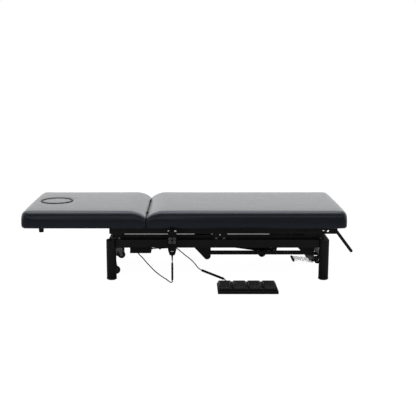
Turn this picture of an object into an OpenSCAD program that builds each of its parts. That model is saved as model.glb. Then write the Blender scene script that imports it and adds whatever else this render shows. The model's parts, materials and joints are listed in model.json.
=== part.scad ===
// Electric treatment bed: a two-section padded top on a parallelogram lift,
// with a hand control, a floor pedal and castors that come down at a foot pedal.
// X runs from the head end to the foot end, Y from the front to the back, Z up.
// Pieces are laid out from the middle of the padded top and the floor,
// and placed() then moves them so that the origin is under the middle of the whole.

/* [Padded top] */
// Length of the padded top
bed_len = 1950; // [1860:10:2040]
// Width of the padded top
bed_w = 750; // [720:5:800]
// Height of the upholstered underside above the floor, bed down
deck_z = 333; // [333:1:345]
// Thickness of the padding with its board
pad_h = 104.5; // [90:0.5:130]
// Length of the seat and leg section
seat_len = 1203; // [1160:1:1240]
// Depth of the notch between the two sections
notch_h = 37; // [25:1:45]
// How far the notch runs out over each section
notch_run = 115; // [90:1:140]
// Plan radius of the outer corners
corner_r = 45; // [30:1:70]
// Radius of the face opening
face_hole_r = 100; // [80:1:110]
// Distance of the face opening from the head end
face_hole_in = 157; // [140:1:190]
// Radius of the breathing hole in the board under the face cushion
breath_hole_r = 88; // [70:1:94]
// Thickness of the plywood boards
board_t = 12; // [9:1:18]
// Distance of the boards from the edge of the upholstery
board_in = 14; // [10:1:30]

/* [Frames] */
// Height of the main rails
rail_h = 50; // [44:1:50]
// Width of the main rails
rail_w = 25; // [22:1:26]
// Wall of the steel tubes
tube_wall = 2; // [1.5:0.5:3]
// Underside of the base rails above the floor
base_rail_z = 198; // [190:1:200]
// Distance between the centre lines of the base rails
base_rail_gap = 566; // [566:1:590]
// Distance between the centre lines of the top rails
top_rail_gap = 553; // [553:1:556]
// Side of the light cross tubes
cross_w = 25; // [20:1:28]
// Radius of the legs
leg_r = 30; // [26:1:32]
// Distance of the middle of the base from the split of the padding
base_from_split = 431.5; // [423:0.5:440]
// Distance between the legs across the bed
leg_gap = 588; // [588:1:600]
// Wall of the legs
leg_wall = 3; // [2:0.5:4]
// Height of the leg caps
cap_h = 4; // [3:1:6]
// Height of the plastic feet
foot_h = 14; // [10:1:20]
// Radius of the accessory holes in the top rails
acc_hole_r = 8; // [6:0.5:9]
// Spacing of the accessory holes
acc_hole_gap = 29.5; // [25:0.5:40]

/* [Lift linkage] */
// Length of the lift arms between their pivots
arm_len = 594; // [560:1:600]
// Height of the arm tube
arm_h = 44; // [40:1:46]
// Thickness of the arm tube
arm_w = 25; // [20:1:27]
// Gap between the ends of the head arms and the foot arms
arm_end_gap = 3; // [1:0.5:9]
// Radius of the pivot bolts
bolt_r = 8; // [6:0.5:10]
// Radial running clearance at the pivots
pivot_gap = 0.05; // [0.03:0.01:0.1]
// Thickness of the pivot plates
plate_t = 6; // [4:0.5:6]
// Radius of the torsion tubes
torsion_r = 18; // [15:1:20]
// Distance of the torsion tubes from the base pivots
torsion_off = 45; // [44:1:50]
// Radius of the round end of the crank plates
crank_r = 22; // [18:1:24]
// Height of the tie bars
tie_h = 24; // [20:1:28]

/* [Actuators] */
// Outer radius of the actuator tubes
act_tube_r = 21; // [21:0.5:23]
// Inner radius of the actuator tubes
act_bore_r = 18.5; // [18:0.5:19]
// Radius of the push rods
rod_r = 8.5; // [8:0.5:9]
// Radius of the motors
motor_r = 25; // [22:1:27]
// Length of the motors across the bed
motor_len = 110; // [90:1:130]

/* [Castors] */
// Radius of the castor wheels
wheel_r = 26; // [22:1:27]
// Width of the castor wheels
wheel_w = 20; // [16:1:22]
// Distance of the wheel axle behind the swivel axis
trail = 18; // [15:1:20]
// Height of the raised wheels above the floor
wheel_lift = 6; // [4:1:8]
// Distance between the castors across the bed
castor_gap = 390; // [380:1:400]

/* [Controls] */
// Width of the hand control
hand_w = 51; // [46:1:56]
// Height of the hand control
hand_h = 144; // [136:1:150]
// Thickness of the hand control
hand_t = 24; // [20:1:26]
// Radius of the hand control buttons
button_r = 6.5; // [5:0.5:9]
// Travel of the hand control buttons
button_travel = 1; // [0.5:0.1:1.5]
// Length of the floor pedal unit
floor_len = 351; // [330:1:370]
// Width of the floor pedal unit
floor_w = 184; // [165:1:200]
// Height of the floor pedal unit
floor_h = 31; // [29:1:38]
// Travel of the floor pedal pads
pad_travel = 4; // [2:0.5:5]
// Diameter of the control cables
cable_d = 5; // [4:0.1:5]
// Outer diameter of the hand control's curled cable
hand_curl_d = 13; // [12.5:0.5:16]
// Outer diameter of the floor unit's curled cable
floor_curl_d = 15; // [13:0.5:15]

/* [Paper roll holder] */
// Width of the flat arms
paper_arm_w = 19; // [16:1:22]
// Thickness of the flat arms
paper_arm_t = 5; // [3:0.5:6]
// Radius of the roll bar
paper_bar_r = 4; // [3:0.5:5]

/* [Hidden] */
$fn = 48;

// clearances
soft_gap = 0.3;
weld_gap = 0.2;
slip_gap = 0.5;
side_gap = 3;

// lengthwise places, from the middle of the padded top
head_end_x = -bed_len / 2;
foot_end_x = bed_len / 2;
split_x = foot_end_x - seat_len;
face_x = head_end_x + face_hole_in;
arm_span = arm_len + arm_h + arm_end_gap;
leg_span = arm_len + arm_span + arm_h + 20;
head_leg_x = split_x + base_from_split - leg_span / 2;
foot_leg_x = head_leg_x + leg_span;
top_pivot_x = head_leg_x + arm_h / 2 + 25;
base_pivot_x = top_pivot_x + arm_len;
base_pivots = [base_pivot_x, base_pivot_x + arm_span];
top_pivots = [top_pivot_x, top_pivot_x + arm_span];
top_rail_x0 = head_leg_x - 9;
top_rail_x1 = foot_leg_x + 77;
mid_cross_x = base_pivot_x + 275;
acc_hole_x = top_rail_x1 - 68;

// heights
deck_top = deck_z + pad_h;
base_rail_top = base_rail_z + rail_h;
pivot_z = base_rail_top;
top_rail_z = deck_z - rail_h;
low_cross_z = top_rail_z;
high_cross_z = deck_z - cross_w;
acc_hole_z = top_rail_z + 15;

// crosswise places
base_rail_in = base_rail_gap / 2 - rail_w / 2;
base_rail_out = base_rail_gap / 2 + rail_w / 2;
top_rail_in = top_rail_gap / 2 - rail_w / 2;
top_rail_out = top_rail_gap / 2 + rail_w / 2;
arm_out = top_rail_in - 2;
arm_in = arm_out - arm_w;
arm_end_r = arm_h / 2;
plate_out_y = base_rail_in - plate_t;
inner_plate_y = arm_in - side_gap - plate_t + 1;
top_plate_t = plate_t - 1;
bolt_head_h = 8;
bolt_head_r = 12;
crank_t = 8;
crank_y = inner_plate_y - bolt_head_h - crank_t;
tie_t = 12;
tie_y = crank_y - tie_t - 1;
tie_pin_r = 6;

// cranks, measured from a base pivot
crank_end = [-54, -121];
crank_back = crank_end[0] - crank_r - 90;
crank_top = 8;
tie_pin = [-54, -102];
push_pin = [-20, -80];
push_eye_r = 14;
push_pin_r = 6;
lug_t = 6;
lug_y = 10;

// lift actuator, between its rear pin and the push pin
lift_rear = [base_pivot_x + 385, 112];
lift_front = [base_pivot_x + push_pin[0], pivot_z + push_pin[1]];
lift_span = norm(lift_rear - lift_front);
lift_tilt = atan2(lift_front[1] - lift_rear[1], lift_rear[0] - lift_front[0]);
beam_h = 22;
beam_w = 60;
gearbox_w = 44;
gearbox_low = 28;
gearbox_high = 24;
clevis_w = 16;
clevis_r = 10;

// along each actuator from its rear pin: the gearbox's ends and the motor's place
lift_box = [28, 130];
lift_motor_x = 81;
lift_motor_drop = 22;
lift_nose = 55;
back_box = [14, 88];
back_motor_x = 18;
back_motor_drop = 44;
back_nose = 100;

// back hinge and back actuator
crown = 2.5;
hinge_z = deck_top - notch_h - crown;
hinge_eye_r = 6;
hinge_pin_r = 3;
hinge_y = 200;
hinge_lug_t = 6;
pocket_w = 30;
back_pin = [split_x - 25, hinge_z - 146];
back_rear = [split_x + 333, back_pin[1]];
back_span = back_rear[0] - back_pin[0];
back_lug_r = 12;
back_ear_y = 24;
back_tube_y = 215;
back_head_x = head_end_x + 25;
back_foot_x = split_x - 17;
bumper_x = head_end_x + 107;
bumper_y = 300;
bumper_r = 16.5;
bumper_h = 35;

// castors
castor_y = castor_gap / 2;
wheel_z = wheel_lift + wheel_r;
castor_bar_z = 108;
castor_bar_h = 20;
castor_bar_w = 30;
castor_stem_r = 6;
castor_x = [head_leg_x, head_leg_x, foot_leg_x, foot_leg_x];
castor_side = [-1, 1, -1, 1];
castor_turn = [0, 0, 0, 180];
guide_r = 6;
guide_y = 120;
guide_x = [head_leg_x, foot_leg_x + 19];
link_y = 160;

// castor pedal
pedal_pivot = [foot_leg_x - 18, 78];
pedal_y = -120;
pedal_w = 111;
pedal_hub_w = 58;
pedal_hub_r = 12;
pedal_pin_r = 6;
tread_x0 = pedal_pivot[0] - 147;
tread_x1 = pedal_pivot[0] - 28;
tread_t = 4;
tread_bar_r = 7;
link_pin = [pedal_pivot[0] - 32, 97];
link_pin_r = 3;
bracket_t = 6;
bracket_low_z = 62;
bracket_arm_z = 94;

// hand control, hung in front of the padded top
hand_x = head_leg_x + 374;
hand_back_y = -376;
hand_top_z = 320;
hand_front_y = hand_back_y - hand_t;
hand_foot_z = hand_top_z - hand_h;
ear_h = 11;
ear_gap = 33;
hook_z = hand_top_z + 5;
hook_r = 3;
hand_taper = 10;
hand_taper_h = 34;
light_z = hand_foot_z + 25;
light_w = 18;
button_gap_x = 25;
button_gap_z = 19.5;
button_z = hand_foot_z + 90.5;
button_depth = 5;
boot_h = 32;
boot_neck_h = 6;
boot_r = 4.6;

// control box under the near base rail
control_box_x = [head_leg_x + 114, head_leg_x + 243];
control_box_y = [-300, -200];
control_box_z = 164;
socket_z = control_box_z + 9;

// floor pedal unit
floor_x = 195;
floor_y = -612;
tray_h = 18;
tray_floor = 10;
tray_wall = 6;
post_w = 8;
pad_gap = 0.6;
pad_l = (floor_len - 2 * tray_wall - 3 * post_w - 8 * pad_gap) / 4;
pad_d = floor_w - 2 * tray_wall - 2 * pad_gap;
pad_bevel = 5;
floor_boss_x = 251;
floor_boss_z = 14;

// cable routes, chosen by hand
cable_r = cable_d / 2;
hand_curl_r = hand_curl_d / 2 - cable_r;
floor_curl_r = floor_curl_d / 2 - cable_r;
hand_y = hand_back_y - hand_t / 2;
hand_curls = 19;
hand_curl_top = [hand_x, hand_y, 131];
hand_curl_foot = [hand_x, hand_y, 16];
hand_stem = [[hand_x, hand_y, hand_foot_z - boot_h], [hand_x, hand_y, 138]];
hand_lead = [
  [-72, -388, 16], [-72, -388, 12], [-73.5, -387, 8], [-77, -384.5, 5.5], [-83, -381, 4.5],
  [-90, -377, 7.5], [-99, -372, 13], [-112, -366, 21], [-132, -357, 31], [-157, -346, 46],
  [-182, -334, 64], [-206, -320, 85], [-232, -304, 109], [-257, -288, 134], [-270, -279.3, 144.2],
  [-276.8, -274.8, 150.3], [-279.9, -272.7, 155.1], [-281, -272, 161], [-281, -272, control_box_z]
];
floor_lead = [
  [-203, -262, 184], [-197, -262, 184], [-189, -262, 184.8], [-178, -262, 186.2], [-167, -262, 187.2],
  [-158, -262, 187.5], [-142, -262, 187.5], [-115, -262, 188.7], [-90, -262, 189.8], [-79, -262, 190],
  [-60, -262, 190], [-52, -262, 188.3], [-43, -261.7, 183.5], [-29, -260, 172], [-9, -250, 151.5],
  [16, -226, 125], [40, -190, 96], [57, -160, 71], [69, -135, 50], [77.5, -115, 33], [85, -103, 20.5],
  [92.5, -98.5, 12.5], [99, -101.5, 8.6], [103, -108.5, 7.8], [106, -114, 7.6], [108, -117, 7.6]
];
floor_curls = 42;
floor_curl_a = [108, -117, 7.6];
floor_curl_b = [242, -318, 7.6];
floor_tail = [
  [242, -318, 7.6], [244, -321, 7.6], [247, -326, 6.5], [251, -336, 4.5], [255, -352, 3.5],
  [257, -372, 4], [256, -392, 8], [253, -408, 12.5], [251, -416, 14], [251, -421, 14]
];
clip_x = [head_leg_x + 296, head_leg_x + 376];
clip_z = [187.5, 190];
clip_y = floor_lead[0][1];
clip_w = 12;

// overall box, for the origin
box_x0 = head_end_x;
paper_high = [top_rail_x1 - 15, deck_z - 18];
paper_low = paper_high + [104, -137];
paper_bar_at = paper_low + [-8, 10.5];
paper_knob_r = paper_bar_r + 3;
box_x1 = max(foot_end_x, paper_low[0] + paper_arm_w / 2);
box_y0 = min(floor_y, -bed_w / 2);
box_y1 = bed_w / 2;
module placed() {
  translate([-(box_x0 + box_x1) / 2, -(box_y0 + box_y1) / 2, 0])
    children();
}

// the same thing at the front and at the back
module both_sides() {
  for (flip = [0, 1])
    mirror([0, flip, 0])
      children();
}

// a box from its low corner to its high corner
module block(low, high) {
  translate(low)
    cube(high - low);
}

// a square tube along X, open at both ends
module tube_x(low, high, wall) {
  difference() {
    block(low, high);
    block([low[0] - 1, low[1] + wall, low[2] + wall], [high[0] + 1, high[1] - wall, high[2] - wall]);
  }
}

// a square tube along Y, open at both ends
module tube_y(low, high, wall) {
  difference() {
    block(low, high);
    block([low[0] + wall, low[1] - 1, low[2] + wall], [high[0] - wall, high[1] + 1, high[2] - wall]);
  }
}

// a round bar along Y between two places
module bar_y(x, z, r, y0, y1) {
  translate([x, y0, z])
    rotate([-90, 0, 0])
      cylinder(r = r, h = y1 - y0);
}

// a flat plate in the XZ plane, from an outline of [x, z] points
module plate_y(outline, y0, y1) {
  translate([0, y1, 0])
    rotate([90, 0, 0])
      linear_extrude(y1 - y0)
        polygon(outline);
}

// a straight flat bar between two eyes in the XZ plane
module link_y_bar(a, b, r, y0, y1) {
  side = (b - a) / norm(b - a) * r;
  across = [-side[1], side[0]];
  plate_y([a + across, b + across, b - across, a - across], y0, y1);
  bar_y(a[0], a[1], r, y0, y1);
  bar_y(b[0], b[1], r, y0, y1);
}

// sweep of a round section along points
function unit(v) = v / norm(v);
function path_dir(path, i) =
  unit(path[min(i + 1, len(path) - 1)] - path[max(i - 1, 0)]);
function side_dir(dir) =
  abs(dir[2]) > 0.9 ? unit(cross(dir, [0, 1, 0])) : unit(cross(dir, [0, 0, 1]));
function ring_at(path, i, r, sides) =
  let (dir = path_dir(path, i), across = side_dir(dir), over = cross(across, dir))
  [for (k = [0:sides - 1]) path[i] + r * (cos(360 * k / sides) * across + sin(360 * k / sides) * over)];
module swept_tube(path, r, sides) {
  count = len(path);
  rings = [for (i = [0:count - 1]) each ring_at(path, i, r, sides)];
  walls = [for (i = [0:count - 2]) for (k = [0:sides - 1])
    let (a = i * sides + k, b = i * sides + (k + 1) % sides)
    each [[a, b, b + sides], [a, b + sides, a + sides]]];
  last = (count - 1) * sides;
  caps = [for (k = [1:sides - 2]) each [[0, k + 1, k], [last, last + k, last + k + 1]]];
  polyhedron(points = rings, faces = [for (f = concat(walls, caps)) [f[2], f[1], f[0]]], convexity = 10);
}

// points of a curled stretch from a to b, with a short straight stub at each end
function curl_path(a, b, turns, r, steps = 8, stub = 2) =
  let (dir = unit(b - a), across = side_dir(dir), over = cross(across, dir), run = norm(b - a) - 2 * stub)
  concat([a], [for (i = [0:turns * steps])
    let (turn = 360 * i / steps, grow = min(1, 2 * min(i, turns * steps - i) / steps))
    a + dir * (stub + run * i / (turns * steps)) + r * grow * (cos(turn) * across + sin(turn) * over)], [b]);

// least gap of a curled cable to itself, measured on its points
function least_gap(path, steps, d) =
  min([for (i = [0:len(path) - 1]) for (j = [i + steps - 2:1:min(i + steps + 2, len(path) - 1)])
    norm(path[i] - path[j])]) - d;
hand_curl_path = curl_path(hand_curl_top, hand_curl_foot, hand_curls, hand_curl_r);
floor_curl_path = curl_path(floor_curl_a, floor_curl_b, floor_curls, floor_curl_r);
echo(hand_curl_gap = least_gap(hand_curl_path, 8, cable_d));
echo(floor_curl_gap = least_gap(floor_curl_path, 8, cable_d));

// upholstered section, as cross sections along X from its notch end to its outer end
edge_pull = 6;
function notch_drop(s) = s < notch_run ? notch_h * pow(1 - s / notch_run, 3.1) : 0;
function corner_in(t, r) = t < r ? r - sqrt(r * r - (r - t) * (r - t)) : 0;
function pad_section(w, z0, z1, rise) =
  let (h = z1 - z0, k = h / pad_h)
  let (half = [
    [w - 20, 0], [w - 9, 3], [w - 4, 9], [w - 1, 24], [w, 0.45 * h],
    [w - 1.5, h - 38 * k], [w - 5, h - 25 * k], [w - 11, h - 13 * k], [w - 20, h - 5 * k], [w - 34, h - 1 * k],
    [0.66 * w, h + 0.5 * rise], [0.33 * w, h + 0.85 * rise]])
  concat([for (p = half) [p[0], z0 + p[1]]], [[0, z0 + h + rise]],
    [for (i = [len(half) - 1:-1:0]) [-half[i][0], z0 + half[i][1]]]);
module padded_section(from_x, to_x) {
  run = abs(to_x - from_x);
  way = sign(to_x - from_x);
  ends = [for (a = [75, 60, 45, 30, 15, 0]) run - corner_r * (1 - cos(a))];
  stations = concat([0, 5, 12, 22, 36, 54, 78, notch_run, 0.5 * (notch_run + run - corner_r)],
    [for (i = [0:5]) run - corner_r * (1 - sin(15 * i))], [run]);
  sections = [for (s = stations)
    let (out = corner_in(run - s, corner_r), neck = s < 40 ? edge_pull * pow(1 - s / 40, 2) : 0,
      roll = corner_in(run - s, 30), tuck = corner_in(run - s, 10))
    pad_section(bed_w / 2 - out * 0.9 - neck, deck_z + tuck, deck_top - crown - notch_drop(s) - roll,
      crown * min(1, s / notch_run))];
  per = len(sections[0]);
  count = len(sections);
  points = [for (i = [0:count - 1]) each [for (p = sections[i]) [from_x + way * stations[i], p[0], p[1]]]];
  walls = [for (i = [0:count - 2]) for (k = [0:per - 1])
    let (a = i * per + k, b = i * per + (k + 1) % per)
    each [[a, b, b + per], [a, b + per, a + per]]];
  last = (count - 1) * per;
  caps = [for (k = [1:per - 2]) each [[0, k + 1, k], [last, last + k, last + k + 1]]];
  faces = concat(walls, caps);
  polyhedron(points = points, faces = way > 0 ? [for (f = faces) [f[2], f[1], f[0]]] : faces, convexity = 10);
}

// plywood board with round outer corners
module board_shape(x0, x1, grow, z0, z1) {
  half = bed_w / 2 - board_in + grow;
  translate([0, 0, z0])
    linear_extrude(z1 - z0)
      polygon([[x0 - grow, -half], [x1 + grow, -half], [x1 + grow, half], [x0 - grow, half]]);
}

// room for the four legs in whatever meets them
module leg_room() {
  both_sides()
    for (x = [head_leg_x, foot_leg_x])
      translate([x, leg_gap / 2, 0])
        cylinder(r = leg_r + weld_gap, h = deck_z);
}

module base_side_rails() {
  color("#1d1d1f")
    difference() {
      both_sides()
        tube_x([head_leg_x, base_rail_in, base_rail_z], [foot_leg_x, base_rail_out, base_rail_top], tube_wall);
      leg_room();
    }
}

module base_cross_tubes() {
  color("#1d1d1f")
    difference() {
      for (x = [[head_leg_x - 16, head_leg_x + 19], [foot_leg_x + 8, foot_leg_x + 30]])
        tube_y([x[0], -base_rail_in, base_rail_z], [x[1], base_rail_in, base_rail_top], tube_wall);
      leg_room();
      for (x = guide_x)
        for (y = [-guide_y, guide_y])
          translate([x, y, base_rail_z - 1])
            cylinder(r = guide_r + pivot_gap, h = rail_h + 2);
    }
}

module legs() {
  color("#1d1d1f")
    both_sides()
      for (x = [head_leg_x, foot_leg_x])
        translate([x, leg_gap / 2, foot_h])
          difference() {
            cylinder(r = leg_r, h = base_rail_top + 2 - cap_h - foot_h);
            translate([0, 0, -1])
              cylinder(r = leg_r - leg_wall, h = base_rail_top + 4 - foot_h);
          }
}

// plastic caps on the legs and rubber feet under them
module leg_end_plugs() {
  color("#18181a")
    both_sides()
      for (x = [head_leg_x, foot_leg_x])
        translate([x, leg_gap / 2, 0])
          rotate_extrude() {
            translate([0, base_rail_top + 2 - cap_h])
              polygon([[0, 0], [leg_r, 0], [leg_r, cap_h - 2], [leg_r - 2, cap_h], [0, cap_h]]);
            polygon([[0, 0], [leg_r - 4, 0], [leg_r + 1, 4], [leg_r + 1, foot_h - 2],
              [leg_r - 1, foot_h - 1], [leg_r - 1, foot_h], [0, foot_h]]);
          }
}

// two plates and a web that carry a base pivot
module base_pivot_plates() {
  half = arm_h / 2;
  color("#1d1d1f")
    both_sides()
      for (x = base_pivots)
        difference() {
          union() {
            block([x - half, plate_out_y, base_rail_z], [x + half, base_rail_in, pivot_z + 34]);
            block([x - half, inner_plate_y, base_rail_z], [x + half, inner_plate_y + plate_t, pivot_z]);
            bar_y(x, pivot_z, half, inner_plate_y, inner_plate_y + plate_t);
            block([x - half, inner_plate_y, base_rail_z], [x + half, base_rail_in, base_rail_z + plate_t]);
          }
          bar_y(x, pivot_z, bolt_r, inner_plate_y - 1, base_rail_in + 1);
          leg_room();
        }
}

// bolt with its head towards the middle of the bed
module pivot_bolt(x, z, y1) {
  bar_y(x, z, bolt_head_r, inner_plate_y - bolt_head_h, inner_plate_y);
  bar_y(x, z, bolt_r, inner_plate_y, y1);
}

module base_pivot_bolts() {
  color("#8d9094") {
    difference() {
      both_sides()
        for (x = base_pivots)
          pivot_bolt(x, pivot_z, base_rail_in);
      leg_room();
    }
    bar_y(lift_rear[0], lift_rear[1], push_pin_r, -lug_y - lug_t - 4, lug_y + lug_t + 4);
    bar_y(pedal_pivot[0], pedal_pivot[1], pedal_pin_r,
      pedal_y - pedal_hub_w / 2 - 10, pedal_y + pedal_hub_w / 2 + 10);
  }
}

// beam behind the foot cross tube, with the two ears of the actuator's rear pin
module actuator_beam() {
  ear = [[lift_rear[0] - 30, base_rail_z + 1], [lift_rear[0] + 34, base_rail_z + 1],
    [lift_rear[0] + push_eye_r, lift_rear[1]], [lift_rear[0] - push_eye_r, lift_rear[1]]];
  color("#1d1d1f") {
    block([lift_rear[0] - 30, -beam_w / 2, base_rail_z], [foot_leg_x + 8, beam_w / 2, base_rail_z + beam_h]);
    for (y = [-lug_y - lug_t, lug_y])
      difference() {
        union() {
          plate_y(ear, y, y + lug_t);
          bar_y(lift_rear[0], lift_rear[1], push_eye_r, y, y + lug_t);
        }
        bar_y(lift_rear[0], lift_rear[1], push_pin_r, y - 1, y + lug_t + 1);
      }
  }
}

module control_box() {
  x = control_box_x;
  y = control_box_y;
  color("#18181a")
    difference() {
      block([x[0], y[0], control_box_z], [x[1], y[1], base_rail_z]);
      block([x[0] - 1, y[0] + 28, socket_z], [x[0] + 12, y[0] + 56, socket_z + 20]);
      block([x[1] - 8, y[0] + 60, socket_z], [x[1] + 1, y[0] + 78, socket_z + 15]);
    }
}

// bent bracket with two uprights and round hooks that the hand control hangs on
module handset_holder() {
  arm_low = base_rail_z + 18;
  back_y = hand_back_y + 1;
  color("#1d1d1f") {
    block([hand_x - 22, -base_rail_out - 4, base_rail_z + 4], [hand_x + 22, -base_rail_out, base_rail_top - 4]);
    block([hand_x - 22, back_y, arm_low], [hand_x + 22, -base_rail_out - 4, arm_low + 5]);
    for (side = [-1, 1]) {
      block([hand_x + side * ear_gap / 2 - 5, back_y, arm_low],
        [hand_x + side * ear_gap / 2 + 5, back_y + 4, hook_z + 5]);
      bar_y(hand_x + side * ear_gap / 2, hook_z, hook_r, hand_front_y - 1, back_y + 1);
    }
  }
}

// hand control: tapered lower end, two ears on top, pockets for the buttons
module handset_body() {
  outline = [
    [hand_x - hand_w / 2, hand_foot_z + hand_taper_h], [hand_x - hand_w / 2 + hand_taper, hand_foot_z],
    [hand_x + hand_w / 2 - hand_taper, hand_foot_z], [hand_x + hand_w / 2, hand_foot_z + hand_taper_h],
    [hand_x + hand_w / 2, hand_top_z - 6], [hand_x + hand_w / 2 - 6, hand_top_z],
    [hand_x - hand_w / 2 + 6, hand_top_z], [hand_x - hand_w / 2, hand_top_z - 6]];
  color("#1a1a1c")
    difference() {
      union() {
        plate_y(outline, hand_front_y, hand_back_y);
        for (side = [-1, 1])
          block([hand_x + side * ear_gap / 2 - 6, hand_front_y + 6, hand_top_z - 1],
            [hand_x + side * ear_gap / 2 + 6, hand_back_y - 6, hand_top_z + ear_h]);
        block([hand_x - light_w / 2, hand_front_y - 0.5, light_z - 2],
          [hand_x + light_w / 2, hand_front_y + 1, light_z + 2]);
        translate([hand_x, hand_y, hand_foot_z - boot_h])
          cylinder(r1 = boot_r - 0.6, r2 = boot_r, h = boot_h);
        translate([hand_x, hand_y, hand_foot_z - boot_neck_h])
          cylinder(r1 = boot_r, r2 = boot_r + 3, h = boot_neck_h + 1);
      }
      for (side = [-1, 1])
        bar_y(hand_x + side * ear_gap / 2, hook_z, hook_r + slip_gap, hand_front_y, hand_back_y + 1);
      for (sx = [-1, 1])
        for (sz = [-1, 1])
          bar_y(hand_x + sx * button_gap_x / 2, button_z + sz * button_gap_z / 2, button_r + slip_gap,
            hand_front_y - 1, hand_front_y + button_depth);
    }
}

module hand_button(side, row) {
  color("#8f9296")
    bar_y(hand_x + side * button_gap_x / 2, button_z + row * button_gap_z / 2, button_r,
      hand_front_y - 1.5, hand_front_y + button_depth - button_travel - soft_gap);
}

module bed_up_button() {
  hand_button(-1, 1);
}

module bed_down_button() {
  hand_button(-1, -1);
}

module back_up_button() {
  hand_button(1, 1);
}

module back_down_button() {
  hand_button(1, -1);
}

module handset_cord_curl() {
  color("#161618")
    swept_tube(concat(hand_stem, hand_curl_path), cable_r, 6);
}

module handset_cord_lead() {
  color("#161618")
    swept_tube(hand_lead, cable_r, 8);
}

// tray of the floor pedal unit, with posts between its pads
module floor_unit_tray() {
  color("#141416")
    union() {
      difference() {
        block([floor_x, floor_y, 0], [floor_x + floor_len, floor_y + floor_w, tray_h]);
        block([floor_x + tray_wall, floor_y + tray_wall, tray_floor],
          [floor_x + floor_len - tray_wall, floor_y + floor_w - tray_wall, tray_h + 1]);
      }
      for (i = [1:3])
        block([pad_x(i) - pad_gap - post_w, floor_y + tray_wall, tray_floor - 1],
          [pad_x(i) - pad_gap, floor_y + floor_w - tray_wall, tray_h]);
      translate([floor_boss_x, floor_y + floor_w - 1, floor_boss_z])
        rotate([-90, 0, 0])
          cylinder(r1 = cable_r + 4, r2 = cable_r + 2, h = 8);
    }
}
function pad_x(i) = floor_x + tray_wall + pad_gap + i * (pad_l + 2 * pad_gap + post_w);

module floor_pad(i) {
  low = tray_floor + pad_travel + slip_gap;
  color("#19191b")
    translate([pad_x(i), floor_y + tray_wall + pad_gap + pad_d, 0])
      rotate([90, 0, 0])
        linear_extrude(pad_d)
          polygon([[0, low], [pad_l, low], [pad_l, floor_h - pad_bevel], [pad_l - pad_bevel, floor_h],
            [pad_bevel, floor_h], [0, floor_h - pad_bevel]]);
}

module floor_pad_1() {
  floor_pad(0);
}

module floor_pad_2() {
  floor_pad(1);
}

module floor_pad_3() {
  floor_pad(2);
}

module floor_pad_4() {
  floor_pad(3);
}

module floor_cord_lead() {
  color("#161618") {
    swept_tube(floor_lead, cable_r, 8);
    swept_tube(floor_tail, cable_r, 8);
  }
}

module floor_cord_curl() {
  color("#161618")
    swept_tube(floor_curl_path, cable_r, 6);
}

// clips that hold the floor cable to the inside of the near rail
module cable_clips() {
  color("#1a1a1c")
    for (i = [0, 1])
      difference() {
        block([clip_x[i] - clip_w / 2, -base_rail_in, clip_z[i] - cable_r - 4],
          [clip_x[i] + clip_w / 2, clip_y + cable_r + 3, base_rail_z + 10]);
        translate([clip_x[i] - clip_w, clip_y, clip_z[i]])
          rotate([0, 90, 0])
            cylinder(r = cable_r + slip_gap, h = 2 * clip_w);
      }
}

// two L plates that hang the castor pedal from the foot cross tube
module pedal_bracket() {
  x1 = foot_leg_x + 30;
  x0 = x1 - 10;
  outline = [[x0, base_rail_z], [x0, bracket_arm_z], [pedal_pivot[0], bracket_arm_z],
    [pedal_pivot[0], bracket_low_z], [x1, bracket_low_z], [x1, base_rail_z]];
  eye_r = bracket_arm_z - pedal_pivot[1];
  color("#1d1d1f")
    for (y = [pedal_y - pedal_hub_w / 2 - bracket_t - 1, pedal_y + pedal_hub_w / 2 + 1])
      difference() {
        union() {
          plate_y(outline, y, y + bracket_t);
          bar_y(pedal_pivot[0], pedal_pivot[1], eye_r, y, y + bracket_t);
        }
        bar_y(pedal_pivot[0], pedal_pivot[1], pedal_pin_r, y - 1, y + bracket_t + 1);
      }
}

// tread plate with a rubber bar, a hub, and two slotted lugs that pull the castor frame down
module castor_pedal() {
  y0 = pedal_y - pedal_hub_w / 2;
  y1 = pedal_y + pedal_hub_w / 2;
  tread_y0 = pedal_y - pedal_w / 2;
  tread_y1 = pedal_y + pedal_w / 2;
  tread_low_z = pedal_pivot[1] - 5;
  tread_high_z = pedal_pivot[1] + 5;
  lug_x0 = link_pin[0] - 12;
  lug_t = 4;
  neck_x0 = lug_x0 - 1;
  color("#b9bcbf")
    difference() {
      union() {
        plate_y([[tread_x0, tread_high_z], [tread_x0, tread_high_z + tread_t],
          [tread_x1, tread_low_z + tread_t], [tread_x1, tread_low_z]], tread_y0, tread_y1);
        plate_y([[neck_x0, tread_low_z + 1], [neck_x0, tread_low_z + 6], [pedal_pivot[0], pedal_pivot[1] + 6],
          [pedal_pivot[0], pedal_pivot[1] - 6]], y0, y1);
        bar_y(pedal_pivot[0], pedal_pivot[1], pedal_hub_r, y0, y1);
        for (y = [pedal_y - 8 - lug_t, pedal_y + 8])
          block([lug_x0, y, tread_low_z + 3], [lug_x0 + 26, y + lug_t, link_pin[1] + 10]);
      }
      bar_y(pedal_pivot[0], pedal_pivot[1], pedal_pin_r + pivot_gap, y0 - 1, y1 + 1);
      block([link_pin[0] - 5, y0, link_pin[1] - 5], [link_pin[0] + 9, y1, link_pin[1] + 5]);
    }
  color("#151517")
    bar_y(tread_x0 - 4, tread_high_z + 2, tread_bar_r, tread_y0 - 1, tread_y1 + 1);
}

// arm with its round ends bored for the pivot bolts
module arm_tubes(x) {
  color("#1d1d1f")
    both_sides()
      difference() {
        union() {
          block([x - arm_len, arm_in, pivot_z - arm_h / 2], [x, arm_out, pivot_z + arm_h / 2]);
          bar_y(x, pivot_z, arm_end_r, arm_in, arm_out);
          bar_y(x - arm_len, pivot_z, arm_end_r, arm_in, arm_out);
        }
        bar_y(x, pivot_z, bolt_r + pivot_gap, arm_in - 1, arm_out + 1);
        bar_y(x - arm_len, pivot_z, bolt_r + pivot_gap, arm_in - 1, arm_out + 1);
      }
}

module torsion_tube(x) {
  bar_y(x - torsion_off, pivot_z, torsion_r, -arm_in, arm_in);
}

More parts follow.
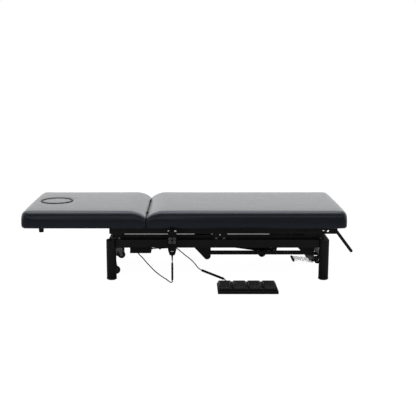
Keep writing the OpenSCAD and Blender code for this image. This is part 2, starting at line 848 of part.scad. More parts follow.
// outline of a crank plate: it hangs from the torsion tube to a round end
module crank_plates(x) {
  a = [x + crank_end[0], pivot_z + crank_end[1]];
  back = x + crank_back;
  front = x + crank_end[0] + crank_r + 1;
  outline = [[a[0] - crank_r + 2, a[1] - 10], [back + 31, pivot_z - 66], [back, pivot_z - 29],
    [back, pivot_z - 14], [back + 16, pivot_z + crank_top], [front, pivot_z + crank_top],
    [front, pivot_z - 20], [a[0] + crank_r, a[1]]];
  color("#1d1d1f")
    both_sides() {
      difference() {
        union() {
          plate_y(outline, crank_y, crank_y + crank_t);
          bar_y(a[0], a[1], crank_r, crank_y, crank_y + crank_t);
        }
        bar_y(x - torsion_off, pivot_z, torsion_r, crank_y - 1, crank_y + crank_t + 1);
      }
      bar_y(x + tie_pin[0], pivot_z + tie_pin[1], tie_pin_r, tie_y - 2, crank_y);
    }
}

module head_arm_tubes() {
  arm_tubes(base_pivots[0]);
}

module foot_arm_tubes() {
  arm_tubes(base_pivots[1]);
}

module head_crank_plates() {
  crank_plates(base_pivots[0]);
}

module foot_crank_plates() {
  crank_plates(base_pivots[1]);
}

// torsion tube of the head arms, with the two lugs of the push pin
module head_torsion_tube() {
  tube_at = [base_pivot_x - torsion_off, pivot_z];
  color("#1d1d1f") {
    torsion_tube(base_pivot_x);
    for (y = [-lug_y - lug_t, lug_y])
      difference() {
        link_y_bar(tube_at, lift_front, push_eye_r, y, y + lug_t);
        bar_y(lift_front[0], lift_front[1], push_pin_r, y - 1, y + lug_t + 1);
        bar_y(tube_at[0], tube_at[1], torsion_r - 1, y - 1, y + lug_t + 1);
      }
    bar_y(lift_front[0], lift_front[1], push_pin_r, -lug_y - lug_t - 3, lug_y + lug_t + 3);
  }
}

module foot_torsion_tube() {
  color("#1d1d1f")
    torsion_tube(base_pivots[1]);
}

// bars that make the two sets of arms move as one
module tie_bars() {
  z = pivot_z + tie_pin[1];
  x0 = base_pivot_x + tie_pin[0];
  x1 = x0 + arm_span;
  color("#1d1d1f")
    both_sides()
      difference() {
        union() {
          block([x0, tie_y, z - tie_h / 2], [x1, tie_y + tie_t, z + tie_h / 2]);
          bar_y(x0, z, tie_h / 2, tie_y, tie_y + tie_t);
          bar_y(x1, z, tie_h / 2, tie_y, tie_y + tie_t);
        }
        bar_y(x0, z, tie_pin_r + pivot_gap, tie_y - 1, tie_y + tie_t + 1);
        bar_y(x1, z, tie_pin_r + pivot_gap, tie_y - 1, tie_y + tie_t + 1);
      }
}

module top_side_rails() {
  color("#1d1d1f")
    both_sides()
      difference() {
        tube_x([top_rail_x0, top_rail_in, top_rail_z], [top_rail_x1, top_rail_out, deck_z], tube_wall);
        for (side = [-1, 1])
          bar_y(acc_hole_x + side * acc_hole_gap / 2, acc_hole_z, acc_hole_r, top_rail_in - 1, top_rail_out + 1);
      }
}

// cross tubes between the top rails, with the hinge lugs and the ears of the back actuator's rear pin
module top_cross_tubes() {
  ear_x = back_rear[0];
  color("#1d1d1f") {
    tube_y([top_rail_x0, -top_rail_in, low_cross_z],
      [top_rail_x0 + 20, top_rail_in, low_cross_z + cross_w], tube_wall);
    for (x = [ear_x - cross_w / 2, mid_cross_x, top_rail_x1 - cross_w])
      tube_y([x, -top_rail_in, high_cross_z], [x + cross_w, top_rail_in, deck_z], tube_wall);
    both_sides() {
      tube_y([split_x + 28, hinge_y - 30, high_cross_z],
        [split_x + 28 + cross_w, top_rail_in, deck_z], tube_wall);
      hinge_lug(1, hinge_y - hinge_lug_t - 0.5);
      bar_y(split_x, hinge_z, hinge_pin_r, hinge_y - hinge_lug_t - 3, hinge_y + hinge_lug_t + 3);
    }
    for (y = [-back_ear_y - lug_t, back_ear_y])
      difference() {
        union() {
          block([ear_x - back_lug_r, y, back_rear[1]], [ear_x + back_lug_r, y + lug_t, high_cross_z]);
          bar_y(ear_x, back_rear[1], back_lug_r, y, y + lug_t);
        }
        bar_y(ear_x, back_rear[1], push_pin_r, y - 1, y + lug_t + 1);
      }
    bar_y(ear_x, back_rear[1], push_pin_r, -back_ear_y - lug_t - 3, back_ear_y + lug_t + 3);
  }
}

module top_pivot_plates() {
  half = arm_h / 2;
  outer_y = top_rail_in + 0.5;
  color("#1d1d1f")
    both_sides()
      for (x = top_pivots)
        difference() {
          union() {
            block([x - half, outer_y, pivot_z], [x + half, outer_y + top_plate_t, top_rail_z]);
            bar_y(x, pivot_z, half, outer_y, outer_y + top_plate_t);
            block([x - half, inner_plate_y, pivot_z], [x + half, inner_plate_y + plate_t, top_rail_z]);
            bar_y(x, pivot_z, half, inner_plate_y, inner_plate_y + plate_t);
            block([x - half, inner_plate_y, top_rail_z - plate_t],
              [x + half, outer_y + top_plate_t, top_rail_z]);
          }
          bar_y(x, pivot_z, bolt_r, inner_plate_y - 1, outer_y + top_plate_t + 1);
        }
}

module top_pivot_bolts() {
  color("#8d9094")
    both_sides()
      for (x = top_pivots)
        pivot_bolt(x, pivot_z, top_rail_in + 0.5 + top_plate_t);
}

module seat_board() {
  color("#c8a878")
    difference() {
      board_shape(split_x + 3, foot_end_x - board_in, 0, deck_z, deck_z + board_t);
      hinge_pockets(1);
    }
}

module back_board() {
  color("#c8a878")
    difference() {
      board_shape(head_end_x + board_in, split_x - 3, 0, deck_z, deck_z + board_t);
      hinge_pockets(-1);
      translate([face_x, 0, deck_z - 1])
        cylinder(r = breath_hole_r, h = board_t + 2);
    }
}

// room for the hinge lugs in the padding and the boards
module hinge_pockets(way) {
  x0 = way > 0 ? split_x : split_x - 46;
  x1 = way > 0 ? split_x + 56 : split_x;
  eye_room = hinge_eye_r + 2;
  both_sides() {
    block([x0 - 1, hinge_y - pocket_w / 2, deck_z - 1], [x1 + 1, hinge_y + pocket_w / 2, hinge_z - 14]);
    bar_y(split_x, hinge_z, eye_room, hinge_y - pocket_w / 2, hinge_y + pocket_w / 2);
    block([split_x - eye_room, hinge_y - pocket_w / 2, deck_z],
      [split_x + eye_room, hinge_y + pocket_w / 2, hinge_z]);
  }
}

module seat_cushion() {
  color("#26272b")
    difference() {
      padded_section(split_x + soft_gap, foot_end_x);
      board_shape(split_x - 1, foot_end_x - board_in, soft_gap, deck_z - 1, deck_z + board_t + soft_gap);
      hinge_pockets(1);
    }
}

module back_cushion() {
  color("#26272b")
    difference() {
      padded_section(split_x - soft_gap, head_end_x);
      board_shape(head_end_x + board_in, split_x + 1, soft_gap, deck_z - 1, deck_z + board_t + soft_gap);
      hinge_pockets(-1);
      translate([face_x, 0, deck_z - 1])
        cylinder(r = face_hole_r, h = pad_h + 10);
    }
}

// loose round cushion that fills the face opening
module face_plug() {
  r = face_hole_r - soft_gap;
  h = deck_top - deck_z - board_t - soft_gap;
  color("#26272b")
    translate([face_x, 0, deck_z + board_t + soft_gap])
      rotate_extrude()
        polygon([[0, 0], [r - 4, 0], [r, 5], [r, h - 34], [r - 2, h - 18], [r - 6, h - 8], [r - 14, h - 2.5],
          [r - 28, h - 1], [r * 0.4, h - 0.2], [0, h]]);
}

// raised hinge: an upright lug on each section, joined by a pin at the foot of the notch
module hinge_lug(way, y0) {
  x = split_x;
  foot = way > 0 ? x + 50 : x - 40;
  near = x + way * hinge_eye_r;
  far = x - way * hinge_eye_r;
  outline = [[far, hinge_z], [near, hinge_z], [near, hinge_z - 19], [foot, deck_z + 16], [foot, deck_z],
    [x + way * 20, deck_z], [far, hinge_z - 34]];
  plate_y(outline, y0, y0 + hinge_lug_t);
  bar_y(x, hinge_z, hinge_eye_r, y0, y0 + hinge_lug_t);
}

// flat arms that drop from the foot end and carry the paper roll
module paper_roll_arms() {
  color("#1d1d1f")
    both_sides()
      difference() {
        link_y_bar(paper_high, paper_low, paper_arm_w / 2, top_rail_out, top_rail_out + paper_arm_t);
        bar_y(paper_bar_at[0], paper_bar_at[1], paper_bar_r + pivot_gap,
          top_rail_out - 1, top_rail_out + paper_arm_t + 1);
      }
}

module paper_roll_bar() {
  half = top_rail_out + paper_arm_t + 4;
  color("#2a2a2c") {
    bar_y(paper_bar_at[0], paper_bar_at[1], paper_bar_r, -half, half);
    both_sides()
      bar_y(paper_bar_at[0], paper_bar_at[1], paper_knob_r, half - 2, half + 4);
  }
}

// actuator body seen from its rear pin: tube, gearbox and a motor across the bed
module actuator_body(rear, tilt, front, near_x, far_x, motor_x, motor_drop) {
  translate([rear[0], 0, rear[1]])
    rotate([0, tilt, 0])
      difference() {
        union() {
          translate([-front, 0, 0])
            rotate([0, 90, 0])
              cylinder(r = act_tube_r, h = front - near_x);
          block([-far_x, -gearbox_w / 2, -gearbox_low], [-near_x, gearbox_w / 2, gearbox_high]);
          translate([-motor_x, -motor_len / 2, -motor_drop])
            rotate([-90, 0, 0])
              cylinder(r = motor_r, h = motor_len);
          block([-near_x - 1, -clevis_w / 2, -clevis_r], [0, clevis_w / 2, clevis_r]);
          bar_y(0, 0, clevis_r, -clevis_w / 2, clevis_w / 2);
        }
        translate([-front - 1, 0, 0])
          rotate([0, 90, 0])
            cylinder(r = act_bore_r, h = front - far_x + 1);
        bar_y(0, 0, push_pin_r + pivot_gap, -clevis_w, clevis_w);
      }
}

// push rod seen from its front pin
module push_rod(front, tilt, length) {
  translate([front[0], 0, front[1]])
    rotate([0, tilt, 0])
      difference() {
        union() {
          rotate([0, 90, 0])
            cylinder(r = rod_r, h = length);
          bar_y(0, 0, push_eye_r - 1, -lug_y + 1, lug_y - 1);
        }
        bar_y(0, 0, push_pin_r + pivot_gap, -lug_y, lug_y);
      }
}

module lift_actuator() {
  color("#17171a")
    actuator_body(lift_rear, lift_tilt, lift_span - lift_nose, lift_box[0], lift_box[1],
      lift_motor_x, lift_motor_drop);
}

module lift_push_rod() {
  color("#b9bcc0")
    push_rod(lift_front, lift_tilt, lift_span - lift_box[1] - 15);
}

module back_actuator() {
  color("#17171a")
    actuator_body(back_rear, 0, back_span - back_nose, back_box[0], back_box[1],
      back_motor_x, back_motor_drop);
}

module back_push_rod() {
  color("#b9bcc0")
    push_rod(back_pin, 0, back_span - back_box[1] - 20);
}

module back_side_tubes() {
  color("#1d1d1f")
    both_sides()
      tube_x([back_head_x, back_tube_y, high_cross_z], [back_foot_x, back_tube_y + cross_w, deck_z], tube_wall);
}

// cross tubes of the back frame, with the hinge lugs and the lugs of the back push pin
module back_cross_tubes() {
  color("#1d1d1f") {
    for (x = [back_head_x, face_x + face_hole_r + 15, back_foot_x - cross_w])
      tube_y([x, -back_tube_y, high_cross_z], [x + cross_w, back_tube_y, deck_z], tube_wall);
    both_sides()
      difference() {
        hinge_lug(-1, hinge_y + 0.5);
        bar_y(split_x, hinge_z, hinge_pin_r + pivot_gap, hinge_y - 20, hinge_y + 20);
      }
    for (y = [-lug_y - lug_t, lug_y])
      difference() {
        union() {
          block([back_pin[0] - back_lug_r, y, back_pin[1]],
            [back_pin[0] + back_lug_r, y + lug_t, high_cross_z + 1]);
          bar_y(back_pin[0], back_pin[1], back_lug_r, y, y + lug_t);
        }
        bar_y(back_pin[0], back_pin[1], push_pin_r, y - 1, y + lug_t + 1);
      }
    bar_y(back_pin[0], back_pin[1], push_pin_r, -lug_y - lug_t - 3, lug_y + lug_t + 3);
  }
}

// rubber bumpers under the head end
module back_bumpers() {
  color("#151517")
    both_sides()
      translate([bumper_x, bumper_y, deck_z - bumper_h])
        cylinder(r1 = bumper_r - 2.5, r2 = bumper_r, h = bumper_h);
}

// frame that carries the castors, with guide pins that slide in the cross tubes
module castor_frame() {
  z0 = castor_bar_z;
  z1 = castor_bar_z + castor_bar_h;
  color("#1d1d1f")
    difference() {
      union() {
        for (x = [head_leg_x, foot_leg_x])
          block([x - castor_bar_w / 2, -castor_y - 20, z0], [x + castor_bar_w / 2, castor_y + 20, z1]);
        block([head_leg_x, link_y, z0], [foot_leg_x, link_y + castor_bar_h, z1]);
        for (y = [-guide_y, guide_y]) {
          block([foot_leg_x, y - 9, z0], [guide_x[1] + 8, y + 9, z1]);
          for (x = guide_x)
            translate([x, y, z0 + 2])
              cylinder(r = guide_r, h = base_rail_top + 14 - z0);
        }
        block([link_pin[0] - 8, pedal_y - 6, z0], [foot_leg_x, pedal_y + 6, z1]);
        block([link_pin[0] - 8, pedal_y - 4, link_pin[1] - 6], [link_pin[0] + 5, pedal_y + 4, z1]);
        bar_y(link_pin[0], link_pin[1], link_pin_r, pedal_y - 15, pedal_y + 15);
      }
      for (x = [head_leg_x, foot_leg_x])
        for (y = [-castor_y, castor_y])
          translate([x, y, z0 - 1])
            cylinder(r = castor_stem_r + pivot_gap, h = castor_bar_h + 2);
    }
}

// castor with its swivel axis at the origin of X and Y
module castor_fork(i) {
  head_z = castor_bar_z - 0.3;
  color("#b4b7ba")
    translate([castor_x[i], castor_side[i] * castor_y, 0])
      rotate([0, 0, castor_turn[i]]) {
        translate([0, 0, head_z - 12])
          cylinder(r = 19, h = 12);
        translate([0, 0, head_z])
          cylinder(r = castor_stem_r, h = castor_bar_h + 3);
        both_sides()
          difference() {
            union() {
              plate_y([[-16, head_z - 11], [17, head_z - 11], [trail + 9, wheel_z], [trail - 9, wheel_z]],
                wheel_w / 2 + 1, wheel_w / 2 + 4);
              bar_y(trail, wheel_z, 9, wheel_w / 2 + 1, wheel_w / 2 + 4);
            }
            bar_y(trail, wheel_z, 4, wheel_w / 2, wheel_w / 2 + 5);
          }
        bar_y(trail, wheel_z, 4, -wheel_w / 2 - 6, wheel_w / 2 + 6);
      }
}

module castor_wheel(i) {
  color("#141416")
    translate([castor_x[i], castor_side[i] * castor_y, 0])
      rotate([0, 0, castor_turn[i]])
        translate([trail, 0, wheel_z])
          rotate([-90, 0, 0])
            rotate_extrude()
              polygon([[4 + pivot_gap, -wheel_w / 2 + 0.3], [wheel_r - 5, -wheel_w / 2 + 0.3],
                [wheel_r, -wheel_w / 2 + 5], [wheel_r, wheel_w / 2 - 5], [wheel_r - 5, wheel_w / 2 - 0.3],
                [4 + pivot_gap, wheel_w / 2 - 0.3]]);
}

module near_head_castor_fork() {
  castor_fork(0);
}

module far_head_castor_fork() {
  castor_fork(1);
}

module near_foot_castor_fork() {
  castor_fork(2);
}

module far_foot_castor_fork() {
  castor_fork(3);
}

module near_head_castor_wheel() {
  castor_wheel(0);
}

module far_head_castor_wheel() {
  castor_wheel(1);
}

module near_foot_castor_wheel() {
  castor_wheel(2);
}

module far_foot_castor_wheel() {
  castor_wheel(3);
}

placed() base_side_rails();
placed() base_cross_tubes();
placed() legs();
placed() leg_end_plugs();
placed() base_pivot_plates();
placed() base_pivot_bolts();
placed() actuator_beam();
placed() control_box();
placed() handset_holder();
placed() handset_body();
placed() handset_cord_curl();
placed() handset_cord_lead();
placed() floor_unit_tray();
placed() floor_cord_curl();
placed() floor_cord_lead();
placed() cable_clips();
placed() pedal_bracket();
placed() head_arm_tubes();
placed() head_torsion_tube();
placed() head_crank_plates();
placed() foot_arm_tubes();
placed() foot_torsion_tube();
placed() foot_crank_plates();
placed() tie_bars();
placed() top_side_rails();
placed() top_cross_tubes();
placed() top_pivot_plates();
placed() top_pivot_bolts();
placed() seat_board();
placed() seat_cushion();
placed() paper_roll_arms();
placed() paper_roll_bar();
placed() lift_actuator();
placed() lift_push_rod();
placed() back_actuator();
placed() back_push_rod();
placed() back_side_tubes();
placed() back_cross_tubes();
placed() back_board();
placed() back_cushion();
placed() back_bumpers();
placed() face_plug();
placed() castor_frame();
placed() castor_pedal();
placed() near_head_castor_fork();
placed() far_head_castor_fork();
placed() near_foot_castor_fork();
placed() far_foot_castor_fork();
placed() near_head_castor_wheel();
placed() far_head_castor_wheel();
placed() near_foot_castor_wheel();
placed() far_foot_castor_wheel();
placed() bed_up_button();
placed() bed_down_button();
placed() back_up_button();
placed() back_down_button();
placed() floor_pad_1();
placed() floor_pad_2();
placed() floor_pad_3();
placed() floor_pad_4();
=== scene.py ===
import json
import math

import bmesh
import bpy
from mathutils import Matrix, Vector
from mathutils.bvhtree import BVHTree


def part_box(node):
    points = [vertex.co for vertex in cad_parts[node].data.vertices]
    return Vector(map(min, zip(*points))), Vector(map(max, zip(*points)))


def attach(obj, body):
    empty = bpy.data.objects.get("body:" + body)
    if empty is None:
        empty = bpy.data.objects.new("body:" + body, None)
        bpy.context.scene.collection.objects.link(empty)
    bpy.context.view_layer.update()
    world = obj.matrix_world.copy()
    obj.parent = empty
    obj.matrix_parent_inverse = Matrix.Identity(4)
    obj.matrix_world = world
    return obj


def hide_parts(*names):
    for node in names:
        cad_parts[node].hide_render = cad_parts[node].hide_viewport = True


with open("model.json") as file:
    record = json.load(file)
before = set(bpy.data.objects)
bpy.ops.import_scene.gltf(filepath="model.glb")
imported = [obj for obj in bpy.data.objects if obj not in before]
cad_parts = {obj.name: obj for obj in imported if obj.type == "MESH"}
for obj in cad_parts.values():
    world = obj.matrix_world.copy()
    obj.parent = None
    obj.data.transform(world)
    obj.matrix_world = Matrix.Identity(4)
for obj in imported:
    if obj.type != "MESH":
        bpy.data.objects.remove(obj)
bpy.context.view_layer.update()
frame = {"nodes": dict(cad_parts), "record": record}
nodes = frame["nodes"]
print("frame loaded,", len(nodes), "nodes")

# the part's drawing is in millimetres from the middle of the padded top; this finds that middle
seatLow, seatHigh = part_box("seat_cushion")
bedShift = Vector((seatHigh.x - 0.975, (seatLow.y + seatHigh.y) / 2, 0))


def spot(x, y, z):
    return Vector((x, y, z)) / 1000 + bedShift


# camera, at the photograph's viewing angle
cameraSet = {"x": 40, "y": -4987, "z": 1345, "tilt": 79.14, "lens": 68.4, "shiftX": 0.0411}
cameraData = bpy.data.cameras.new("camera")
cameraData.lens = cameraSet["lens"]
cameraData.sensor_width = 36
cameraData.shift_x = cameraSet["shiftX"]
cameraData.clip_end = 60
camera = bpy.data.objects.new("camera", cameraData)
camera.location = spot(cameraSet["x"], cameraSet["y"], cameraSet["z"])
camera.rotation_euler = (math.radians(cameraSet["tilt"]), 0, 0)
bpy.context.scene.collection.objects.link(camera)
bpy.context.scene.camera = camera


# materials
def hexColour(code):
    code = code.lstrip("#")
    parts = [int(code[i:i + 2], 16) / 255 for i in (0, 2, 4)]
    return tuple(c / 12.92 if c <= 0.04045 else ((c + 0.055) / 1.055) ** 2.4 for c in parts) + (1,)


def addNode(tree, kind, settings=None, inputs=None):
    # inputs hold a plain value, or (node, output name) for a link
    node = tree.nodes.new(kind)
    for key, value in (settings or {}).items():
        setattr(node, key, value)
    for key, value in (inputs or {}).items():
        if isinstance(value, tuple) and len(value) == 2 and isinstance(value[0], bpy.types.Node):
            tree.links.new(value[0].outputs[value[1]], node.inputs[key])
        else:
            node.inputs[key].default_value = value
    return node


def newMaterial(name):
    material = bpy.data.materials.new(name)
    material.use_nodes = True
    material.node_tree.nodes.clear()
    return material, material.node_tree


def finishMaterial(tree, shader):
    addNode(tree, "ShaderNodeOutputMaterial", inputs={"Surface": (shader, "BSDF")})


def speckle(tree, where, size, low, high, detail=3.0):
    # noise whose grains are about size metres across, spread from low to high
    noise = addNode(tree, "ShaderNodeTexNoise",
                    inputs={"Vector": where, "Scale": 1 / size, "Detail": detail, "Roughness": 0.6})
    return addNode(tree, "ShaderNodeMapRange", inputs={
        "Value": (noise, "Fac"), "From Min": 0.3, "From Max": 0.7, "To Min": low, "To Max": high})


def twoTone(tree, factor, first, second):
    mix = addNode(tree, "ShaderNodeMix", {"data_type": "RGBA"}, {0: factor})
    mix.inputs[6].default_value = hexColour(first)
    mix.inputs[7].default_value = hexColour(second)
    return mix


def bumpOf(tree, height, distance, strength=1.0, normal=None):
    inputs = {"Height": height, "Distance": distance, "Strength": strength}
    if normal:
        inputs["Normal"] = normal
    return addNode(tree, "ShaderNodeBump", inputs=inputs)


def leatherette(name, dark="#14151a", light="#18191f"):
    # PVC leatherette over foam: calendered pebble grain, a satin skin that runs pale at a grazing look
    material, tree = newMaterial(name)
    place = addNode(tree, "ShaderNodeTexCoord")
    where = (place, "Object")
    tone = speckle(tree, where, 0.16, 0, 1, 2)
    colour = twoTone(tree, (tone, "Result"), dark, light)
    # the real pebbles are about 1 mm; drawn 2.6 mm so that they show
    pebble = addNode(tree, "ShaderNodeTexVoronoi", {"feature": "SMOOTH_F1"},
                     {"Vector": where, "Scale": 1 / 0.0026, "Smoothness": 0.6})
    # the cover lies over foam, so it waves very gently over a hand's width
    wave = addNode(tree, "ShaderNodeTexNoise", inputs={"Vector": where, "Scale": 1 / 0.12, "Detail": 2.0})
    grain = bumpOf(tree, (pebble, "Distance"), 0.0003, 0.15)
    soft = bumpOf(tree, (wave, "Fac"), 0.0015, 0.06, (grain, "Normal"))
    satin = speckle(tree, where, 0.07, 0.27, 0.29)
    shader = addNode(tree, "ShaderNodeBsdfPrincipled", inputs={
        "Base Color": (colour, 2), "Roughness": (satin, "Result"), "Normal": (soft, "Normal"), "IOR": 1.53,
        "Specular IOR Level": 0.36, "Specular Tint": hexColour("#dfe8ff"), "Sheen Weight": 0.12,
        "Sheen Roughness": 0.4})
    finishMaterial(tree, shader)
    return material


def powderCoat(name, base="#0e0e0f", other="#131314", level=0.25, low=0.42):
    # polyester powder coat on steel tube: baked on, fine orange peel, edges rounded by the tube's own bends
    material, tree = newMaterial(name)
    place = addNode(tree, "ShaderNodeTexCoord")
    where = (place, "Object")
    tone = speckle(tree, where, 0.09, 0, 1, 2)
    colour = twoTone(tree, (tone, "Result"), base, other)
    edge = addNode(tree, "ShaderNodeBevel", {"samples": 4}, {"Radius": 0.0018})
    # orange peel of about 1 mm, drawn 2.4 mm so that it shows
    peel = addNode(tree, "ShaderNodeTexNoise", inputs={"Vector": where, "Scale": 1 / 0.0024, "Detail": 2.0})
    bump = bumpOf(tree, (peel, "Fac"), 0.0003, 0.35, (edge, "Normal"))
    rough = speckle(tree, where, 0.03, low, low + 0.12)
    shader = addNode(tree, "ShaderNodeBsdfPrincipled", inputs={
        "Base Color": (colour, 2), "Roughness": (rough, "Result"), "Normal": (bump, "Normal"), "IOR": 1.5,
        "Specular IOR Level": level})
    finishMaterial(tree, shader)
    return material


def mouldedPlastic(name, base, other, low=0.38, high=0.5, grain=0.0011, level=0.3):
    # injection-moulded ABS, polyamide or rubber: spark-eroded fine texture, even colour
    material, tree = newMaterial(name)
    place = addNode(tree, "ShaderNodeTexCoord")
    where = (place, "Object")
    tone = speckle(tree, where, 0.04, 0, 1, 2)
    colour = twoTone(tree, (tone, "Result"), base, other)
    spark = addNode(tree, "ShaderNodeTexNoise", inputs={"Vector": where, "Scale": 1 / grain, "Detail": 2.0})
    edge = addNode(tree, "ShaderNodeBevel", {"samples": 4}, {"Radius": 0.0008})
    bump = bumpOf(tree, (spark, "Fac"), 0.00025, 0.4, (edge, "Normal"))
    rough = speckle(tree, where, 0.012, low, high)
    shader = addNode(tree, "ShaderNodeBsdfPrincipled", inputs={
        "Base Color": (colour, 2), "Roughness": (rough, "Result"), "Normal": (bump, "Normal"), "IOR": 1.53,
        "Specular IOR Level": level})
    finishMaterial(tree, shader)
    return material


def plainMetal(name, base, other, low, high, brush=0.0006):
    # zinc-plated or ground steel: fine scratches along one way, cloudy plating
    material, tree = newMaterial(name)
    place = addNode(tree, "ShaderNodeTexCoord")
    stretch = addNode(tree, "ShaderNodeMapping", inputs={"Vector": (place, "Object"), "Scale": (0.06, 1, 1)})
    tone = speckle(tree, (place, "Object"), 0.02, 0, 1, 3)
    colour = twoTone(tree, (tone, "Result"), base, other)
    scratch = addNode(tree, "ShaderNodeTexNoise",
                      inputs={"Vector": (stretch, "Vector"), "Scale": 1 / brush, "Detail": 2.0})
    bump = bumpOf(tree, (scratch, "Fac"), 0.0001, 0.3)
    rough = speckle(tree, (place, "Object"), 0.008, low, high)
    shader = addNode(tree, "ShaderNodeBsdfPrincipled", inputs={
        "Base Color": (colour, 2), "Metallic": 1.0, "Roughness": (rough, "Result"),
        "Normal": (bump, "Normal")})
    finishMaterial(tree, shader)
    return material


def birchPly(name):
    # rotary-cut birch plywood: long pale grain on the faces
    material, tree = newMaterial(name)
    place = addNode(tree, "ShaderNodeTexCoord")
    stretch = addNode(tree, "ShaderNodeMapping", inputs={"Vector": (place, "Object"), "Scale": (0.07, 1, 1)})
    grain = addNode(tree, "ShaderNodeTexNoise", inputs={
        "Vector": (stretch, "Vector"), "Scale": 1 / 0.02, "Detail": 6.0, "Distortion": 0.6})
    veneer = twoTone(tree, (grain, "Fac"), "#b98f5c", "#dcbb8a")
    # the edges are sealed with black paint
    side = addNode(tree, "ShaderNodeNewGeometry")
    split = addNode(tree, "ShaderNodeSeparateXYZ", inputs={"Vector": (side, "True Normal")})
    flat = addNode(tree, "ShaderNodeMath", {"operation": "ABSOLUTE"}, {0: (split, "Z")})
    edgeOnly = addNode(tree, "ShaderNodeMath", {"operation": "LESS_THAN"}, {0: (flat, 0), 1: 0.5})
    colour = addNode(tree, "ShaderNodeMix", {"data_type": "RGBA"}, {0: (edgeOnly, 0)})
    tree.links.new(veneer.outputs[2], colour.inputs[6])
    colour.inputs[7].default_value = hexColour("#0f0f10")
    bump = bumpOf(tree, (grain, "Fac"), 0.0004, 0.3)
    shader = addNode(tree, "ShaderNodeBsdfPrincipled", inputs={
        "Base Color": (colour, 2), "Roughness": 0.6, "Normal": (bump, "Normal"), "IOR": 1.5})
    finishMaterial(tree, shader)
    return material


paint = {
    "upholstery": leatherette("anthraciteLeatherette"),
    "frame": powderCoat("blackPowderCoat"),
    "plastic": mouldedPlastic("blackMouldedAbs", "#080809", "#0c0c0d", 0.42, 0.52, 0.0011, 0.15),
    "rubber": mouldedPlastic("blackRubber", "#0e0e0f", "#121213", 0.6, 0.75, 0.0016),
    "tyre": mouldedPlastic("polyurethaneTyre", "#151516", "#1c1c1d", 0.5, 0.65, 0.002),
    "cable": mouldedPlastic("pvcCableJacket", "#060606", "#090909", 0.45, 0.55, 0.0015, 0.1),
    "zinc": plainMetal("zincPlatedSteel", "#a9acb1", "#bdc0c4", 0.28, 0.42),
    "rod": plainMetal("groundSteelRod", "#c9ccd0", "#d5d8db", 0.12, 0.2),
    "ply": birchPly("birchPlywood"),
    "buttons": mouldedPlastic("darkKeyPlastic", "#1a1b1d", "#202123", 0.35, 0.45),
    "keyRing": mouldedPlastic("greyKeySurround", "#8b8e93", "#96999e", 0.35, 0.45, 0.001, 0.5),
    "tread": mouldedPlastic("lightGreyEnamel", "#eceded", "#f4f5f5", 0.5, 0.6, 0.0025, 0.3),
    "padRubber": mouldedPlastic("ribbedPadRubber", "#111112", "#171718", 0.55, 0.65, 0.0016, 0.2),
    # white painted highlight: it stands for the glints on the metal hook tips
    "hookTipGlint": mouldedPlastic("whitePaintedHookGlint", "#f4f4f4", "#ffffff", 0.3, 0.4, 0.001, 0.5),
    "lamp": mouldedPlastic("clearLampLens", "#b9bfc5", "#ccd2d8", 0.15, 0.25, 0.001, 0.5),
    "seam": mouldedPlastic("seamThread", "#0c0d0f", "#101114", 0.5, 0.6, 0.0012),
    "darkHub": mouldedPlastic("greyNylonHub", "#3a3b3d", "#444547", 0.4, 0.5),
}
slotPaint = {
    "frame_paint": "frame", "zinc": "zinc", "rod_steel": "rod", "upholstery": "upholstery", "plywood": "ply",
    "black_plastic": "plastic", "black_rubber": "rubber", "grey_buttons": "buttons", "tyre": "tyre",
    "grey_metal": "tread", "cable": "cable",
}
for subpart in frame["record"]["subparts"]:
    carried = nodes[subpart["node"]]
    carried.data.materials.clear()
    carried.data.materials.append(paint[slotPaint[subpart["material_slot"]]])
print("materials made,", len(paint))


# tools for new pieces
def deselectAll():
    if bpy.context.object and bpy.context.object.mode != "OBJECT":
        bpy.ops.object.mode_set(mode="OBJECT")
    bpy.ops.object.select_all(action="DESELECT")


def pick(piece):
    deselectAll()
    piece.select_set(True)
    bpy.context.view_layer.objects.active = piece


def settle(piece):
    # a finished piece stands at the origin with its place in its mesh
    pick(piece)
    bpy.ops.object.transform_apply(location=True, rotation=True, scale=True)


def useModifier(piece, kind, **settings):
    pick(piece)
    modifier = piece.modifiers.new(kind.lower(), kind)
    for key, value in settings.items():
        setattr(modifier, key, value)
    bpy.ops.object.modifier_apply(modifier=modifier.name)


def smooth(piece, angle=35):
    pick(piece)
    bpy.ops.object.shade_smooth_by_angle(angle=math.radians(angle))


def dress(piece, finish, body, *stands):
    piece.data.materials.clear()
    piece.data.materials.append(paint[finish])
    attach(piece, body)
    if stands:
        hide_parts(*stands)
    return piece


def roundBox(name, low, high, edge, segments=3):
    low, high = spot(*low), spot(*high)
    deselectAll()
    bpy.ops.mesh.primitive_cube_add(size=1, location=(low + high) / 2)
    piece = bpy.context.object
    piece.name = name
    piece.scale = high - low
    settle(piece)
    if edge:
        useModifier(piece, "BEVEL", width=edge / 1000, segments=segments, limit_method="ANGLE")
    smooth(piece)
    return piece


